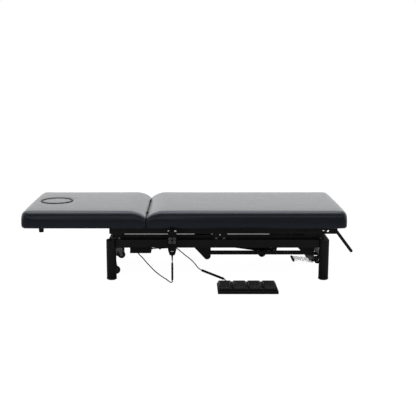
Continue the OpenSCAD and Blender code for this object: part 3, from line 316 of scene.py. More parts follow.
def turned(name, profile, centre, axis="Z", sides=40, angle=35):
    # a round piece drawn out from a disc: profile holds (height, radius) steps in millimetres
    deselectAll()
    height, radius = profile[0]
    bpy.ops.mesh.primitive_circle_add(vertices=sides, radius=radius / 1000, fill_type="NGON",
                                      location=(0, 0, height / 1000))
    piece = bpy.context.object
    piece.name = name
    bpy.ops.object.transform_apply(location=True)
    bpy.ops.object.mode_set(mode="EDIT")
    bpy.ops.mesh.select_all(action="SELECT")
    for nextHeight, nextRadius in profile[1:]:
        rise = (0, 0, (nextHeight - height) / 1000)
        bpy.ops.mesh.extrude_region_move(TRANSFORM_OT_translate={"value": rise})
        grow = nextRadius / radius
        bpy.ops.transform.resize(value=(grow, grow, 1))
        height, radius = nextHeight, nextRadius
    bpy.ops.mesh.select_all(action="SELECT")
    bpy.ops.mesh.normals_make_consistent(inside=False)
    bpy.ops.object.mode_set(mode="OBJECT")
    turns = {"Z": (0, 0, 0), "-Z": (math.pi, 0, 0), "Y": (-math.pi / 2, 0, 0), "-Y": (math.pi / 2, 0, 0),
             "X": (0, math.pi / 2, 0), "-X": (0, -math.pi / 2, 0)}
    piece.rotation_euler = turns[axis]
    piece.location = spot(*centre)
    settle(piece)
    smooth(piece, angle)
    return piece


def cutPlate(name, outline, y0, y1, edge, segments=2):
    # a plate in the XZ plane, drawn as an outline and extruded along Y
    deselectAll()
    mesh = bpy.data.meshes.new(name)
    mesh.from_pydata([spot(x, y0, z) for x, z in outline], [], [list(range(len(outline)))])
    piece = bpy.data.objects.new(name, mesh)
    bpy.context.scene.collection.objects.link(piece)
    pick(piece)
    bpy.ops.object.mode_set(mode="EDIT")
    bpy.ops.mesh.select_all(action="SELECT")
    bpy.ops.mesh.extrude_region_move(TRANSFORM_OT_translate={"value": (0, (y1 - y0) / 1000, 0)})
    bpy.ops.mesh.select_all(action="SELECT")
    bpy.ops.mesh.normals_make_consistent(inside=False)
    bpy.ops.object.mode_set(mode="OBJECT")
    if edge:
        useModifier(piece, "BEVEL", width=edge / 1000, segments=segments, limit_method="ANGLE")
    smooth(piece)
    return piece


def flatRing(name, centre, radius, wire, squash):
    # a thin ring that faces the front, flattened along Y
    deselectAll()
    bpy.ops.mesh.primitive_torus_add(major_radius=radius / 1000, minor_radius=wire / 1000, major_segments=48,
                                     minor_segments=10, location=spot(*centre), rotation=(math.pi / 2, 0, 0))
    piece = bpy.context.object
    piece.name = name
    bpy.ops.object.transform_apply(location=False, rotation=True, scale=True)
    piece.scale = (1, squash, 1)
    settle(piece)
    smooth(piece, 60)
    return piece


def bentWire(name, points, wire):
    # round wire along points, made a mesh
    deselectAll()
    curve = bpy.data.curves.new(name, "CURVE")
    curve.dimensions = "3D"
    curve.bevel_depth = wire / 1000
    curve.bevel_resolution = 4
    curve.use_fill_caps = True
    line = curve.splines.new("POLY")
    line.points.add(len(points) - 1)
    for point, where in zip(line.points, points):
        point.co = (*spot(*where), 1)
    piece = bpy.data.objects.new(name, curve)
    bpy.context.scene.collection.objects.link(piece)
    pick(piece)
    bpy.ops.object.convert(target="MESH")
    piece = bpy.context.object
    smooth(piece, 50)
    return piece


def joinAs(name, pieces):
    deselectAll()
    for piece in pieces:
        piece.select_set(True)
    bpy.context.view_layer.objects.active = pieces[0]
    bpy.ops.object.join()
    pieces[0].name = name
    return pieces[0]


def carve(piece, *cutters):
    # takes the cutters out of the piece, and removes them
    for cutter in cutters:
        useModifier(piece, "BOOLEAN", object=cutter, operation="DIFFERENCE", solver="EXACT")
        bpy.data.objects.remove(cutter)


def copyOf(piece, name, offset):
    # a copy with its own mesh, moved by millimetres
    twin = piece.copy()
    twin.data = piece.data.copy()
    twin.name = name
    bpy.context.scene.collection.objects.link(twin)
    twin.data.transform(Matrix.Translation(Vector(offset) / 1000))
    return twin


def tilted(piece, degrees, x, z):
    # turned about the Y axis through a drawing point; a positive angle lifts the side towards the head
    centre = spot(x, 0, z)
    turn = Matrix.Rotation(math.radians(degrees), 4, "Y")
    piece.data.transform(Matrix.Translation(centre) @ turn @ Matrix.Translation(-centre))
    return piece


def roundedOutline(corners, steps=5):
    # an outline with round corners: corners hold (x, z, radius) in order
    outline = []
    count = len(corners)
    for i, (x, z, radius) in enumerate(corners):
        here = Vector((x, z))
        before = (Vector(corners[i - 1][:2]) - here).normalized()
        after = (Vector(corners[(i + 1) % count][:2]) - here).normalized()
        if radius == 0:
            outline.append((x, z))
            continue
        half = math.acos(max(-1, min(1, before.dot(after)))) / 2
        reach = radius / math.tan(half)
        start, end = here + before * reach, here + after * reach
        for k in range(steps + 1):
            t = k / steps
            point = (1 - t) ** 2 * start + 2 * t * (1 - t) * here + t * t * end
            outline.append((point.x, point.y))
    return outline


# cables, which repeat the drawing's routes
handCable = {
    "x": -72, "y": -388, "boot": 144, "stem": 138, "top": 131, "foot": 16, "turns": 19, "curl": 4,
    "wire": 5, "full": 1.3, "tight": 1.12, "length": 0.797,
    "lead": [(-72, -388, 16), (-72, -388, 12), (-73.5, -387, 8), (-77, -384.5, 5.5), (-83, -381, 4.5),
             (-90, -377, 7.5), (-99, -372, 13), (-112, -366, 21), (-132, -357, 31), (-157, -346, 46),
             (-182, -334, 64), (-206, -320, 85), (-232, -304, 109), (-257, -288, 134), (-270, -279.3, 144.2),
             (-276.8, -274.8, 150.3), (-279.9, -272.7, 155.1), (-281, -272, 161), (-281, -272, 164)],
}
floorCable = {
    "turns": 42, "curl": 5, "wire": 5, "full": 1.3, "tight": 1.1, "length": 1.901,
    "lead": [(-203, -262, 184), (-197, -262, 184), (-189, -262, 184.8), (-178, -262, 186.2),
             (-167, -262, 187.2), (-158, -262, 187.5), (-142, -262, 187.5), (-115, -262, 188.7),
             (-90, -262, 189.8), (-79, -262, 190), (-60, -262, 190), (-52, -262, 188.3), (-43, -261.7, 183.5),
             (-29, -260, 172), (-9, -250, 151.5), (16, -226, 125), (40, -190, 96), (57, -160, 71),
             (69, -135, 50), (77.5, -115, 33), (85, -103, 20.5), (92.5, -98.5, 12.5), (99, -101.5, 8.6),
             (103, -108.5, 7.8), (106, -114, 7.6), (108, -117, 7.6)],
    "tail": [(242, -318, 7.6), (244, -321, 7.6), (247, -326, 6.5), (251, -336, 4.5), (255, -352, 3.5),
             (257, -372, 4), (256, -392, 8), (253, -408, 12.5), (251, -416, 14), (251, -421, 14)],
}


def curlPath(start, end, turns, radius, steps=16, stub=2):
    # a curled stretch with a short straight stub at each end
    start, end = Vector(start), Vector(end)
    ahead = (end - start).normalized()
    helper = Vector((0, 1, 0)) if abs(ahead.z) > 0.9 else Vector((0, 0, 1))
    across = ahead.cross(helper).normalized()
    over = ahead.cross(across)
    total = turns * steps
    run = (end - start).length - 2 * stub
    path = [start]
    for i in range(total + 1):
        turn = 2 * math.pi * i / steps
        grow = min(1, 2 * min(i, total - i) / steps)
        away = radius * grow * (math.cos(turn) * across + math.sin(turn) * over)
        path.append(start + ahead * (stub + run * i / total) + away)
    return path + [end]


def smoothRoute(points, steps=4):
    # a rounded line through the given points
    points = [Vector(p) for p in points]
    route = []
    for i in range(len(points) - 1):
        a, b, c, d = points[max(i - 1, 0)], points[i], points[i + 1], points[min(i + 2, len(points) - 1)]
        for k in range(steps):
            t = k / steps
            route.append(0.5 * ((2 * b) + (c - a) * t + (2 * a - 5 * b + 4 * c - d) * t * t
                                + (3 * b - a - 3 * c + d) * t ** 3))
    route.append(points[-1])
    return route


def cableCurve(name, route, wire, swell):
    # swell says how full the jacket is drawn at a point of the route
    clean = [route[0]]
    for point in route[1:]:
        if (point - clean[-1]).length > 0.05:
            clean.append(point)
    curve = bpy.data.curves.new(name, "CURVE")
    curve.dimensions = "3D"
    curve.bevel_depth = wire / 2000
    curve.bevel_resolution = 3
    curve.use_fill_caps = True
    line = curve.splines.new("POLY")
    line.points.add(len(clean) - 1)
    for point, where in zip(line.points, clean):
        point.co = (*spot(*where), 1)
        point.radius = swell(where)
    piece = bpy.data.objects.new(name, curve)
    bpy.context.scene.collection.objects.link(piece)
    length = sum((b - a).length for a, b in zip(clean, clean[1:])) / 1000
    print(name, "runs", round(length, 3), "m")
    return piece


def handPoint(height):
    return handCable["x"], handCable["y"], handCable[height]


handBoot = handPoint("boot")
handLead = smoothRoute(handCable["lead"])
handRoute = [Vector(handBoot), Vector(handPoint("stem"))]
handRoute += curlPath(handPoint("top"), handPoint("foot"), handCable["turns"], handCable["curl"]) + handLead
handFull = {tuple(point) for point in handLead}
handCord = cableCurve(
    "handControlCable", handRoute, handCable["wire"],
    lambda where: handCable["full"] if tuple(where) in handFull else handCable["tight"])
dress(handCord, "cable", "base", "handset_cord_curl", "handset_cord_lead")
floorCurl = curlPath(floorCable["lead"][-1], floorCable["tail"][0], floorCable["turns"], floorCable["curl"])
floorRoute = smoothRoute(floorCable["lead"]) + floorCurl + smoothRoute(floorCable["tail"])
floorTight = {tuple(point) for point in floorCurl}
floorCord = cableCurve(
    "floorUnitCable", floorRoute, floorCable["wire"],
    lambda where: floorCable["tight"] if tuple(where) in floorTight else floorCable["full"])
dress(floorCord, "cable", "base", "floor_cord_curl", "floor_cord_lead")
print("cables laid")

# padding
padShape = {
    "headEnd": -981.5, "split": -228, "footEnd": 980, "halfWidth": 375, "under": 331.5, "top": 437.5,
    "notch": 37, "notchRun": 115, "corner": 43, "crown": 2.5, "pull": 3, "endGap": -0.3, "sideInset": 1.2,
    "endInset": 0.6, "faceX": -818, "faceRadius": 100.5, "boardLow": 333, "boardTop": 345.3, "boardIn": 14,
    "boardEnd": 961.3, "hemIn": 48, "headHemIn": 30, "hemWidth": 44, "seamDrop": 23, "seamWire": 0.9,
    "voxel": 0.0072, "quickVoxel": 0.009, "pressure": 4, "cap": 0.0016, "frames": 12, "rimHeld": 0.030,
    "rimSoft": 0.016, "rimKept": 0.012,
}


def notchDrop(s):
    # how far the top has dropped, s millimetres from the split
    run = padShape["notchRun"]
    return padShape["notch"] * (1 - s / run) ** 3.1 if s < run else 0


def cornerIn(t, r):
    # how far a quarter round of radius r stands back, t millimetres from its end
    return r - math.sqrt(r * r - (r - t) ** 2) if t < r else 0


def padRing(w, low, high, rise):
    # one cross-section, as (y, z) from the near underside over the top to the far underside
    h = high - low
    k = h / 106
    half = [(w - 11, 0), (w - 4, 1), (w - 1.5, 5), (w - 0.5, 20), (w, 0.45 * h), (w - 1.5, h - 38 * k),
            (w - 5, h - 25 * k), (w - 11, h - 13 * k), (w - 20, h - 5 * k), (w - 34, h - k),
            (0.66 * w, h + 0.5 * rise), (0.33 * w, h + 0.85 * rise)]
    near = [(y, low + z) for y, z in half]
    far = [(-y, low + z) for y, z in reversed(half)]
    return near + [(0, low + h + rise)] + far


def padShell(name, start, end):
    run, way = abs(end - start), (1 if end > start else -1)
    corner, endInset, slope = padShape["corner"], padShape["endInset"], padShape["notchRun"]
    stations = [padShape["endGap"], 2, 5, 9, 14, 21, 30, 41, 54, 72, 92, slope]
    stations += [slope + (run - corner - slope) * i / 6 for i in range(1, 6)]
    stations += [run - corner * (1 - math.sin(math.radians(a))) for a in (0, 12, 24, 36, 48, 60, 72, 82)]
    stations = [s for s in stations if s < run - endInset - 0.3] + [run - endInset]
    verts, faces = [], []
    for s in stations:
        out, roll, tuck = cornerIn(run - s, corner), cornerIn(run - s, 30), cornerIn(run - s, 4)
        neck = padShape["pull"] * (1 - s / 40) ** 2 if s < 40 else 0
        half = padShape["halfWidth"] - padShape["sideInset"] - 0.9 * out - neck
        high = padShape["top"] - padShape["crown"] - notchDrop(s) - roll - 0.5
        ring = padRing(half, padShape["under"] + tuck, high, padShape["crown"] * min(1, s / slope))
        verts += [spot(start + way * s, y, z) for y, z in ring]
    count = len(verts) // len(stations)
    for i in range(len(stations) - 1):
        for k in range(count):
            a, b = i * count + k, i * count + (k + 1) % count
            faces.append([a, b, b + count, a + count])
    faces.append(list(range(count)))
    faces.append(list(range(len(verts) - count, len(verts))))
    mesh = bpy.data.meshes.new(name)
    mesh.from_pydata(verts, [], faces)
    piece = bpy.data.objects.new(name, mesh)
    bpy.context.scene.collection.objects.link(piece)
    pick(piece)
    bpy.ops.object.mode_set(mode="EDIT")
    bpy.ops.mesh.select_all(action="SELECT")
    bpy.ops.mesh.normals_make_consistent(inside=False)
    bpy.ops.object.mode_set(mode="OBJECT")
    return piece


def puff(piece, held, cap, pressure, frames):
    # blows the cover up with cloth, holds the points that held() picks, and caps how far any point moves
    rest = [v.co.copy() for v in piece.data.vertices]
    group = piece.vertex_groups.new(name="held")
    group.add([i for i, co in enumerate(rest) if held(co)], 1.0, "REPLACE")
    pick(piece)
    cloth = piece.modifiers.new("cloth", "CLOTH")
    cloth.settings.quality = 4
    cloth.settings.mass = 0.35
    cloth.settings.tension_stiffness = 20
    cloth.settings.compression_stiffness = 20
    cloth.settings.shear_stiffness = 8
    cloth.settings.bending_stiffness = 2
    cloth.settings.use_pressure = True
    cloth.settings.uniform_pressure_force = pressure
    cloth.settings.vertex_group_mass = "held"
    cloth.settings.effector_weights.gravity = 0
    cloth.point_cache.frame_start = 1
    cloth.point_cache.frame_end = frames
    for step in range(1, frames + 1):
        bpy.context.scene.frame_set(step)
    shown = piece.evaluated_get(bpy.context.evaluated_depsgraph_get())
    moved = [v.co.copy() for v in shown.data.vertices]
    piece.modifiers.clear()
    bpy.context.scene.frame_set(1)
    for vertex, old, new in zip(piece.data.vertices, rest, moved):
        step = new - old
        if step.length > cap:
            step = step.normalized() * cap
        vertex.co = old + step
    piece.vertex_groups.clear()


def relax(piece, test, times):
    # smooths the points that test() picks
    mesh = bmesh.new()
    mesh.from_mesh(piece.data)
    near = [v for v in mesh.verts if test(v.co)]
    for _ in range(times):
        bmesh.ops.smooth_vert(mesh, verts=near, factor=0.5, use_axis_x=True, use_axis_y=True,
                              use_axis_z=True)
    mesh.to_mesh(piece.data)
    mesh.free()


hinge = {"in": 185, "out": 215, "low": 300, "high": 384, "reach": 57, "eye": 8, "eyeZ": 398}


def hingeRoom(name, way):
    # room for the hinge lugs at both sides of one section, round at the top
    x, eye = padShape["split"], hinge["eye"]
    reach = sorted((x - way * eye, x + way * hinge["reach"]))
    cutters = []
    for side in (-1, 1):
        low, high = sorted((side * hinge["in"], side * hinge["out"]))
        cutters.append(roundBox(name, (reach[0], low, hinge["low"]), (reach[1], high, hinge["high"]), 0))
        cutters.append(roundBox(name, (x - eye, low, hinge["high"] - 4), (x + eye, high, hinge["eyeZ"]), 0))
        cutters.append(turned(name, [(low, eye), (high, eye)], (x, 0, hinge["eyeZ"]), "Y", 24))
    return cutters


def boardRoom(start, end, way, hem):
    # the board's place, and the opening that the stapled hem leaves under it
    half = padShape["halfWidth"] - padShape["boardIn"] + 0.3
    x0, x1 = sorted((start - way * 40, way * padShape["boardEnd"]))
    room = roundBox("boardRoom", (x0, -half, padShape["boardLow"]), (x1, half, padShape["boardTop"]), 0)
    half = padShape["halfWidth"] - padShape["hemWidth"]
    x0, x1 = sorted((start - way * 40, end - way * hem))
    opening = roundBox("hemRoom", (x0, -half, hinge["low"]), (x1, half, padShape["boardLow"] + 1), 0)
    return [room, opening]


def faceDistance(co):
    centre = spot(padShape["faceX"], 0, 0)
    return math.hypot(co.x - centre.x, co.y - centre.y)


def makePad(name, start, end, way, hem, faceHole):
    voxel = padShape["voxel"]
    piece = padShell(name, start, end)
    useModifier(piece, "REMESH", mode="VOXEL", voxel_size=voxel)
    relax(piece, lambda co: True, 2)
    rim = padShape["faceRadius"] / 1000
    if faceHole:
        hole = turned("faceHole", [(300, padShape["faceRadius"]), (500, padShape["faceRadius"])],
                      (padShape["faceX"], 0, 0), "Z", 96)
        carve(piece, hole)
        useModifier(piece, "REMESH", mode="VOXEL", voxel_size=voxel * 0.85)
        relax(piece, lambda co: abs(faceDistance(co) - rim) < padShape["rimSoft"] and co.z > 0.42, 8)
    # the hem, the face at the split and the rim of the face opening are held
    lowest = (padShape["under"] + 8) / 1000
    endFace = spot(start, 0, 0).x
    held, kept = rim + padShape["rimHeld"], rim + padShape["rimKept"]
    puff(piece, lambda co: co.z < lowest or abs(co.x - endFace) < 0.004
         or (faceHole and faceDistance(co) < held), padShape["cap"], padShape["pressure"],
         padShape["frames"])
    relax(piece, lambda co: co.z > lowest and not (faceHole and faceDistance(co) < kept), 3)
    carve(piece, *boardRoom(start, end, way, hem), *hingeRoom("hingeRoom", way))
    smooth(piece, 50)
    return piece


def seamLine(name, pad, start, end, way):
    # a sewn seam just under the top edge: rays from outside find the cover, all the way round
    tree = BVHTree.FromObject(pad, bpy.context.evaluated_depsgraph_get())
    half, corner, reach = padShape["halfWidth"], 60, 60
    far = 400  # past the notch, where the top no longer drops
    straight = abs(end - start) - corner - 2
    rays = []
    steps = int(straight / 12)  # a point every 12 mm
    for i in range(steps + 1):
        x = start + way * (2 + straight * i / steps)
        rays.append(((x, -half - reach), (0, 1), abs(x - start)))
    for i in range(1, 12):
        a = math.radians(90 * i / 12)
        out = (way * math.sin(a), -math.cos(a))
        centre = (end - way * corner, -half + corner)
        rays.append(((centre[0] + out[0] * (corner + reach), centre[1] + out[1] * (corner + reach)),
                     (-out[0], -out[1]), far))
    for i in range(0, 31):
        y = (-half + corner) * (1 - i / 30)
        rays.append(((end + way * reach, y), (-way, 0), far))
    mirrored = [((x, -y), (dx, -dy), s) for (x, y), (dx, dy), s in reversed(rays[:-1])]
    path = []
    for (x, y), (dx, dy), s in rays + mirrored:
        z = padShape["top"] - padShape["seamDrop"] - notchDrop(s)
        hit = tree.ray_cast(spot(x, y, z), Vector((dx, dy, 0)), 0.3)
        if hit[0]:
            path.append((hit[0] - bedShift) * 1000)
    return bentWire(name, path, padShape["seamWire"])


seatPad = makePad("seatPad", padShape["split"], padShape["footEnd"], 1, padShape["hemIn"], False)
dress(seatPad, "upholstery", "top_frame", "seat_cushion")
headPad = makePad("headPad", padShape["split"], padShape["headEnd"], -1, padShape["headHemIn"], True)
dress(headPad, "upholstery", "backrest", "back_cushion")
dress(seamLine("seatPadSeam", seatPad, padShape["split"], padShape["footEnd"], 1), "seam", "top_frame")
dress(seamLine("headPadSeam", headPad, padShape["split"], padShape["headEnd"], -1), "seam", "backrest")
print("seat and head padding made,", len(seatPad.data.polygons), len(headPad.data.polygons), "faces")

# round face cushion
facePad = {"radius": 98.5, "low": 345.6, "high": 436.8, "voxel": 0.005, "held": 0.080, "cap": 0.0008,
           "pressure": 3}


def makeFacePad():
    r, low, high = facePad["radius"], facePad["low"], facePad["high"]
    profile = [(low, r - 6), (low + 3, r - 2), (low + 8, r), (high - 30, r), (high - 12, r - 0.5),
               (high - 6, r - 2), (high - 2.5, r - 5), (high - 0.9, r - 10), (high - 0.2, r - 18),
               (high, r * 0.5), (high, r * 0.2), (high, 4)]
    piece = turned("facePad", profile, (padShape["faceX"], 0, 0), "Z", 96, 60)
    useModifier(piece, "REMESH", mode="VOXEL", voxel_size=facePad["voxel"])
    lowest = (low + 10) / 1000
    puff(piece, lambda co: co.z < lowest or faceDistance(co) > facePad["held"], facePad["cap"],
         facePad["pressure"], padShape["frames"])
    useModifier(piece, "SUBSURF", levels=1, render_levels=1)
    smooth(piece, 50)
    return piece


faceCushion = dress(makeFacePad(), "upholstery", "face_cushion", "face_plug")
# black piping sewn round the edge of the face cushion
pipe = {"radius": 95.8, "z": 436.7, "wire": 2.6}
hoop = []
for i in range(97):
    a = 2 * math.pi * i / 96
    hoop.append((padShape["faceX"] + pipe["radius"] * math.cos(a), pipe["radius"] * math.sin(a), pipe["z"]))
dress(bentWire("faceCushionPiping", hoop, pipe["wire"]), "seam", "face_cushion")
print("face cushion made")

# hand control, its hooks and keys
handControl = {
    "x": -72, "front": -400, "back": -376, "top": 320, "foot": 176, "half": 25.5, "taper": 10, "taperUp": 34,
    "earX": 16.5, "hookZ": 325, "hookWire": 2.8, "keyX": 12.5, "keyZ": 9.75, "keyMid": 266.5, "keyRoom": 6.9,
    "keyIn": 3.7, "ringRadius": 7.5, "ringWire": 0.9, "lightZ": 201, "lightHalf": 9, "edge": 3,
}


def makeHandControl():
    c = handControl
    x, half = c["x"], c["half"]
    outline = roundedOutline([
        (x - half, c["foot"] + c["taperUp"], 14), (x - half + c["taper"], c["foot"], 9),
        (x + half - c["taper"], c["foot"], 9), (x + half, c["foot"] + c["taperUp"], 14),
        (x + half, c["top"], 7), (x - half, c["top"], 7)])
    body = cutPlate("handControl", outline, c["front"], c["back"], c["edge"], 4)
    parts = [body]
    for side in (-1, 1):
        ear = x + side * c["earX"]
        tab = roundedOutline([(ear - 6, c["top"] - 3, 0), (ear + 6, c["top"] - 3, 0),
                              (ear + 6, c["top"] + 11, 5), (ear - 6, c["top"] + 11, 5)])
        parts.append(cutPlate("handControlEar", tab, c["front"] + 6, c["back"] - 6, 1))
    whole = joinAs("handControl", parts)
    cutters = []
    earHole = [(c["front"] - 5, 3.5), (c["back"] + 5, 3.5)]
    keyRoom = [(c["front"] - 5, c["keyRoom"]), (c["front"] + 5, c["keyRoom"])]
    for side in (-1, 1):
        cutters.append(turned("earHole", earHole, (x + side * c["earX"], 0, c["hookZ"]), "Y", 24))
        for row in (-1, 1):
            keyPlace = (x + side * c["keyX"], 0, c["keyMid"] + row * c["keyZ"])
            cutters.append(turned("keyRoom", keyRoom, keyPlace, "Y", 40))
    carve(whole, *cutters)
    smooth(whole, 40)
    return whole


dress(makeHandControl(), "plastic", "base", "handset_body")
bootSteps = [(144, 3.7), (144.6, 4.3), (147.4, 4.4), (148, 3.6), (149.6, 3.6), (150.2, 4.5), (153, 4.6),
             (153.6, 3.7), (155.2, 3.7), (155.8, 4.6), (158.6, 4.6), (159.2, 3.8), (160.8, 3.8), (161.4, 4.6),
             (166, 4.8), (171, 5.6), (175, 7.2), (178, 7.6)]
dress(turned("handControlBoot", bootSteps, (handCable["x"], handCable["y"], 0), "Z", 28), "rubber", "base")
keyNames = {(-1, 1): ("bedUpKey", "bed_up"), (-1, -1): ("bedDownKey", "bed_down"),
            (1, 1): ("backUpKey", "back_up"), (1, -1): ("backDownKey", "back_down")}
keyProfile = [(0, 6.2), (0.3, 6.4), (4, 6.4), (4.6, 5.9), (5, 5), (5.1, 3.2), (4.9, 1.5), (4.8, 0.6)]
rings = []
for (side, row), (pieceName, bodyName) in keyNames.items():
    x, z = handControl["x"] + side * handControl["keyX"], handControl["keyMid"] + row * handControl["keyZ"]
    key = turned(pieceName, keyProfile, (x, handControl["front"] + handControl["keyIn"], z), "-Y", 36)
    dress(key, "buttons", bodyName + "_key", bodyName + "_button")
    rings.append(flatRing("keyRing", (x, handControl["front"] - 0.1, z), handControl["ringRadius"],
                          handControl["ringWire"], 0.6))
dress(joinAs("handControlKeyRings", rings), "keyRing", "base")
x, z, half = handControl["x"], handControl["lightZ"], handControl["lightHalf"]
light = roundBox("handControlLight", (x - half, -400.8, z - 2), (x + half, -399.4, z + 2), 0.5)
dress(light, "lamp", "base")

# the holder: a plate screwed to the rail, a shelf and two uprights with a hook each
handHolder = {
    "half": 22, "wallNear": -299.5, "wallFar": -295.5, "wallLow": 202, "wallHigh": 244, "shelfLow": 216,
    "shelfHigh": 221, "shelfFar": -295.6, "near": -375, "uprightFar": -371, "uprightHalf": 5, "tip": 330,
    # the last five entries place the white blocks on the hook tips, painted highlights standing for the
    # glints of the metal hooks
    "screwX": 12, "screwY": -299.4, "screwZ": 232, "hookFrom": -373, "hookTo": -398, "glintNear": -401.3,
    "glintFar": -395.6, "glintOut": 9, "glintIn": 4, "glintHalf": 3,
}


def makeHolder():
    c = handHolder
    x = handControl["x"]
    parts = [roundBox("holder", (x - c["half"], c["wallNear"], c["wallLow"]),
                      (x + c["half"], c["wallFar"], c["wallHigh"]), 1.5),
             roundBox("holder", (x - c["half"], c["near"], c["shelfLow"]),
                      (x + c["half"], c["shelfFar"], c["shelfHigh"]), 1.2)]
    for side in (-1, 1):
        upright = x + side * handControl["earX"]
        parts.append(roundBox("holder", (upright - c["uprightHalf"], c["near"], c["shelfLow"]),
                              (upright + c["uprightHalf"], c["uprightFar"], c["tip"]), 1))
        parts.append(turned("holder", [(0, 5.2), (0.6, 5.8), (4, 5.8)],
                            (x + side * c["screwX"], c["screwY"], c["screwZ"]), "-Y", 6))
    return joinAs("handControlHolder", parts)


dress(makeHolder(), "frame", "base", "handset_holder")
# the hooks turn outwards at the front; the white blocks on their ends are painted highlights, standing for
# the glints of the bent metal hook tips
hooks, hookGlintBlocks = [], []
for side in (-1, 1):
    x, z = handControl["x"] + side * handControl["earX"], handControl["hookZ"]
    start, tip = handHolder["hookFrom"], handHolder["hookTo"]
    hooks.append(bentWire("hook", [(x, start, z), (x, tip + 4, z), (x, tip + 1, z), (x + side * 0.8, tip, z)],
                          handControl["hookWire"]))
    ends = sorted((x - side * handHolder["glintIn"], x + side * handHolder["glintOut"]))
    hookGlintBlocks.append(roundBox("hookGlintBlock", (ends[0], handHolder["glintNear"], z - handHolder["glintHalf"]),
                            (ends[1], handHolder["glintFar"], z + handHolder["glintHalf"]), 2, 4))
dress(joinAs("handControlHooks", hooks), "zinc", "base")
dress(joinAs("handControlHookGlints", hookGlintBlocks), "hookTipGlint", "base")
print("hand control made")

# control box with a lid line, two sockets and two cable glands
controlBox = {
    "x0": -332, "x1": -203, "y0": -300, "y1": -200, "low": 164, "lid": 188, "high": 197.9, "edge": 3,
    "lidGap": 0.6, "coreIn": 1.5, "coreHalf": 3, "socketLow": 173, "socketHigh": 185, "screwIn": 9,
}


def makeControlBox():
    c = controlBox
    x0, x1, y0, y1, lid, core, screw = c["x0"], c["x1"], c["y0"], c["y1"], c["lid"], c["coreIn"], c["screwIn"]
    parts = [
        roundBox("controlBox", (x0, y0, c["low"]), (x1, y1, lid - c["lidGap"]), c["edge"], 4),
        roundBox("controlBox", (x0, y0, lid + c["lidGap"]), (x1, y1, c["high"]), 2),
        roundBox("controlBox", (x0 + core, y0 + core, lid - c["coreHalf"]),
                 (x1 - core, y1 - core, lid + c["coreHalf"]), 0),
    ]
    carve(parts[0], roundBox("socket", (x0 - 1, -272, c["socketLow"]), (x0 + 11, -244, c["socketHigh"]), 0),
          roundBox("socket", (x1 - 8, -240, c["socketLow"]), (x1 + 1, -222, c["socketHigh"]), 0))
    for x in (x0 + screw, x1 - screw):
        for y in (y0 + screw, y1 - screw):
            parts.append(turned("controlBoxScrew", [(0, 3.4), (0.5, 3.6), (1, 3.2), (1.2, 1.4), (0.6, 1.2)],
                                (x, y, c["low"] + 0.2), "-Z", 20))
    return joinAs("controlBox", parts)


dress(makeControlBox(), "plastic", "base", "control_box")
gland = [(0, 5.2), (3, 5.2), (4, 4.2), (5.5, 4.2), (6.2, 4.7), (7.6, 4.6), (8.2, 3.8), (9, 3.7), (9.6, 3.1)]
dress(turned("floorCableGland", gland, floorCable["lead"][0], "X", 28), "rubber", "base")
dress(turned("handCableGland", gland, handCable["lead"][-1], "-Z", 28), "rubber", "base")

# floor pedal unit: a tray, posts between its pads, and four ribbed pads
floorUnit = {
    "x": 195, "y": -614, "length": 351, "width": 186, "tray": 18, "bed": 10, "wall": 6, "post": 8, "gap": 0.6,
    "postTop": 26, "padLow": 14.5, "padTop": 32, "bevel": 5, "panelIn": 9, "panelLow": 20, "panelHigh": 26,
    "matIn": 10, "ribs": 9, "ribIn": 18, "ribHalf": 3.6, "bossX": 251, "bossZ": 14,
}
padLength = (floorUnit["length"] - 2 * floorUnit["wall"] - 3 * floorUnit["post"] - 8 * floorUnit["gap"]) / 4
padStep = padLength + 2 * floorUnit["gap"] + floorUnit["post"]


def makeTray():
    c = floorUnit
    x0, y0, x1, y1 = c["x"], c["y"], c["x"] + c["length"], c["y"] + c["width"]
    tray = roundBox("floorUnitTray", (x0, y0, 0), (x1, y1, c["tray"]), 3.5, 4)
    carve(tray, roundBox("trayRoom", (x0 + c["wall"], y0 + c["wall"], c["bed"]),
                         (x1 - c["wall"], y1 - c["wall"], c["tray"] + 5), 0))
    parts = [tray]
    for i in (1, 2, 3):
        post = x0 + c["wall"] + i * padStep - c["post"]
        parts.append(roundBox("post", (post, y0 + c["wall"] - 1, c["bed"] - 1),
                              (post + c["post"], y1 - c["wall"] + 1, c["postTop"]), 2))
    boss = [(0, 6.5), (1, 6.5), (2, 5.6), (4, 5.6), (5, 5.9), (6.5, 5.4), (7.5, 4.6), (8, 4.2)]
    parts.append(turned("boss", boss, (c["bossX"], y1 - 0.5, c["bossZ"]), "Y", 28))
    return joinAs("floorUnitTray", parts)


def padPlan():
    # the first pad's sides, as x0, x1, y0, y1
    c = floorUnit
    x0 = c["x"] + c["wall"] + c["gap"]
    return x0, x0 + padLength, c["y"] + c["wall"] + c["gap"], c["y"] + c["width"] - c["wall"] - c["gap"]


def makeFloorPad():
    c = floorUnit
    x0, x1, y0, y1 = padPlan()
    low, high, bevel = c["padLow"], c["padTop"], c["bevel"]
    outline = [(x0, low), (x1, low), (x1, high - bevel), (x1 - bevel, high), (x0 + bevel, high),
               (x0, high - bevel)]
    parts = [cutPlate("floorPad", outline, y0, y1, 1.6, 3)]
    # a raised panel on the front, narrow enough to pass the tray when the pad is pressed
    parts.append(roundBox("floorPad", (x0 + c["panelIn"], y0 - 0.35, c["panelLow"]),
                          (x1 - c["panelIn"], y0 + 2, c["panelHigh"]), 0.3))
    return joinAs("floorPad", parts)


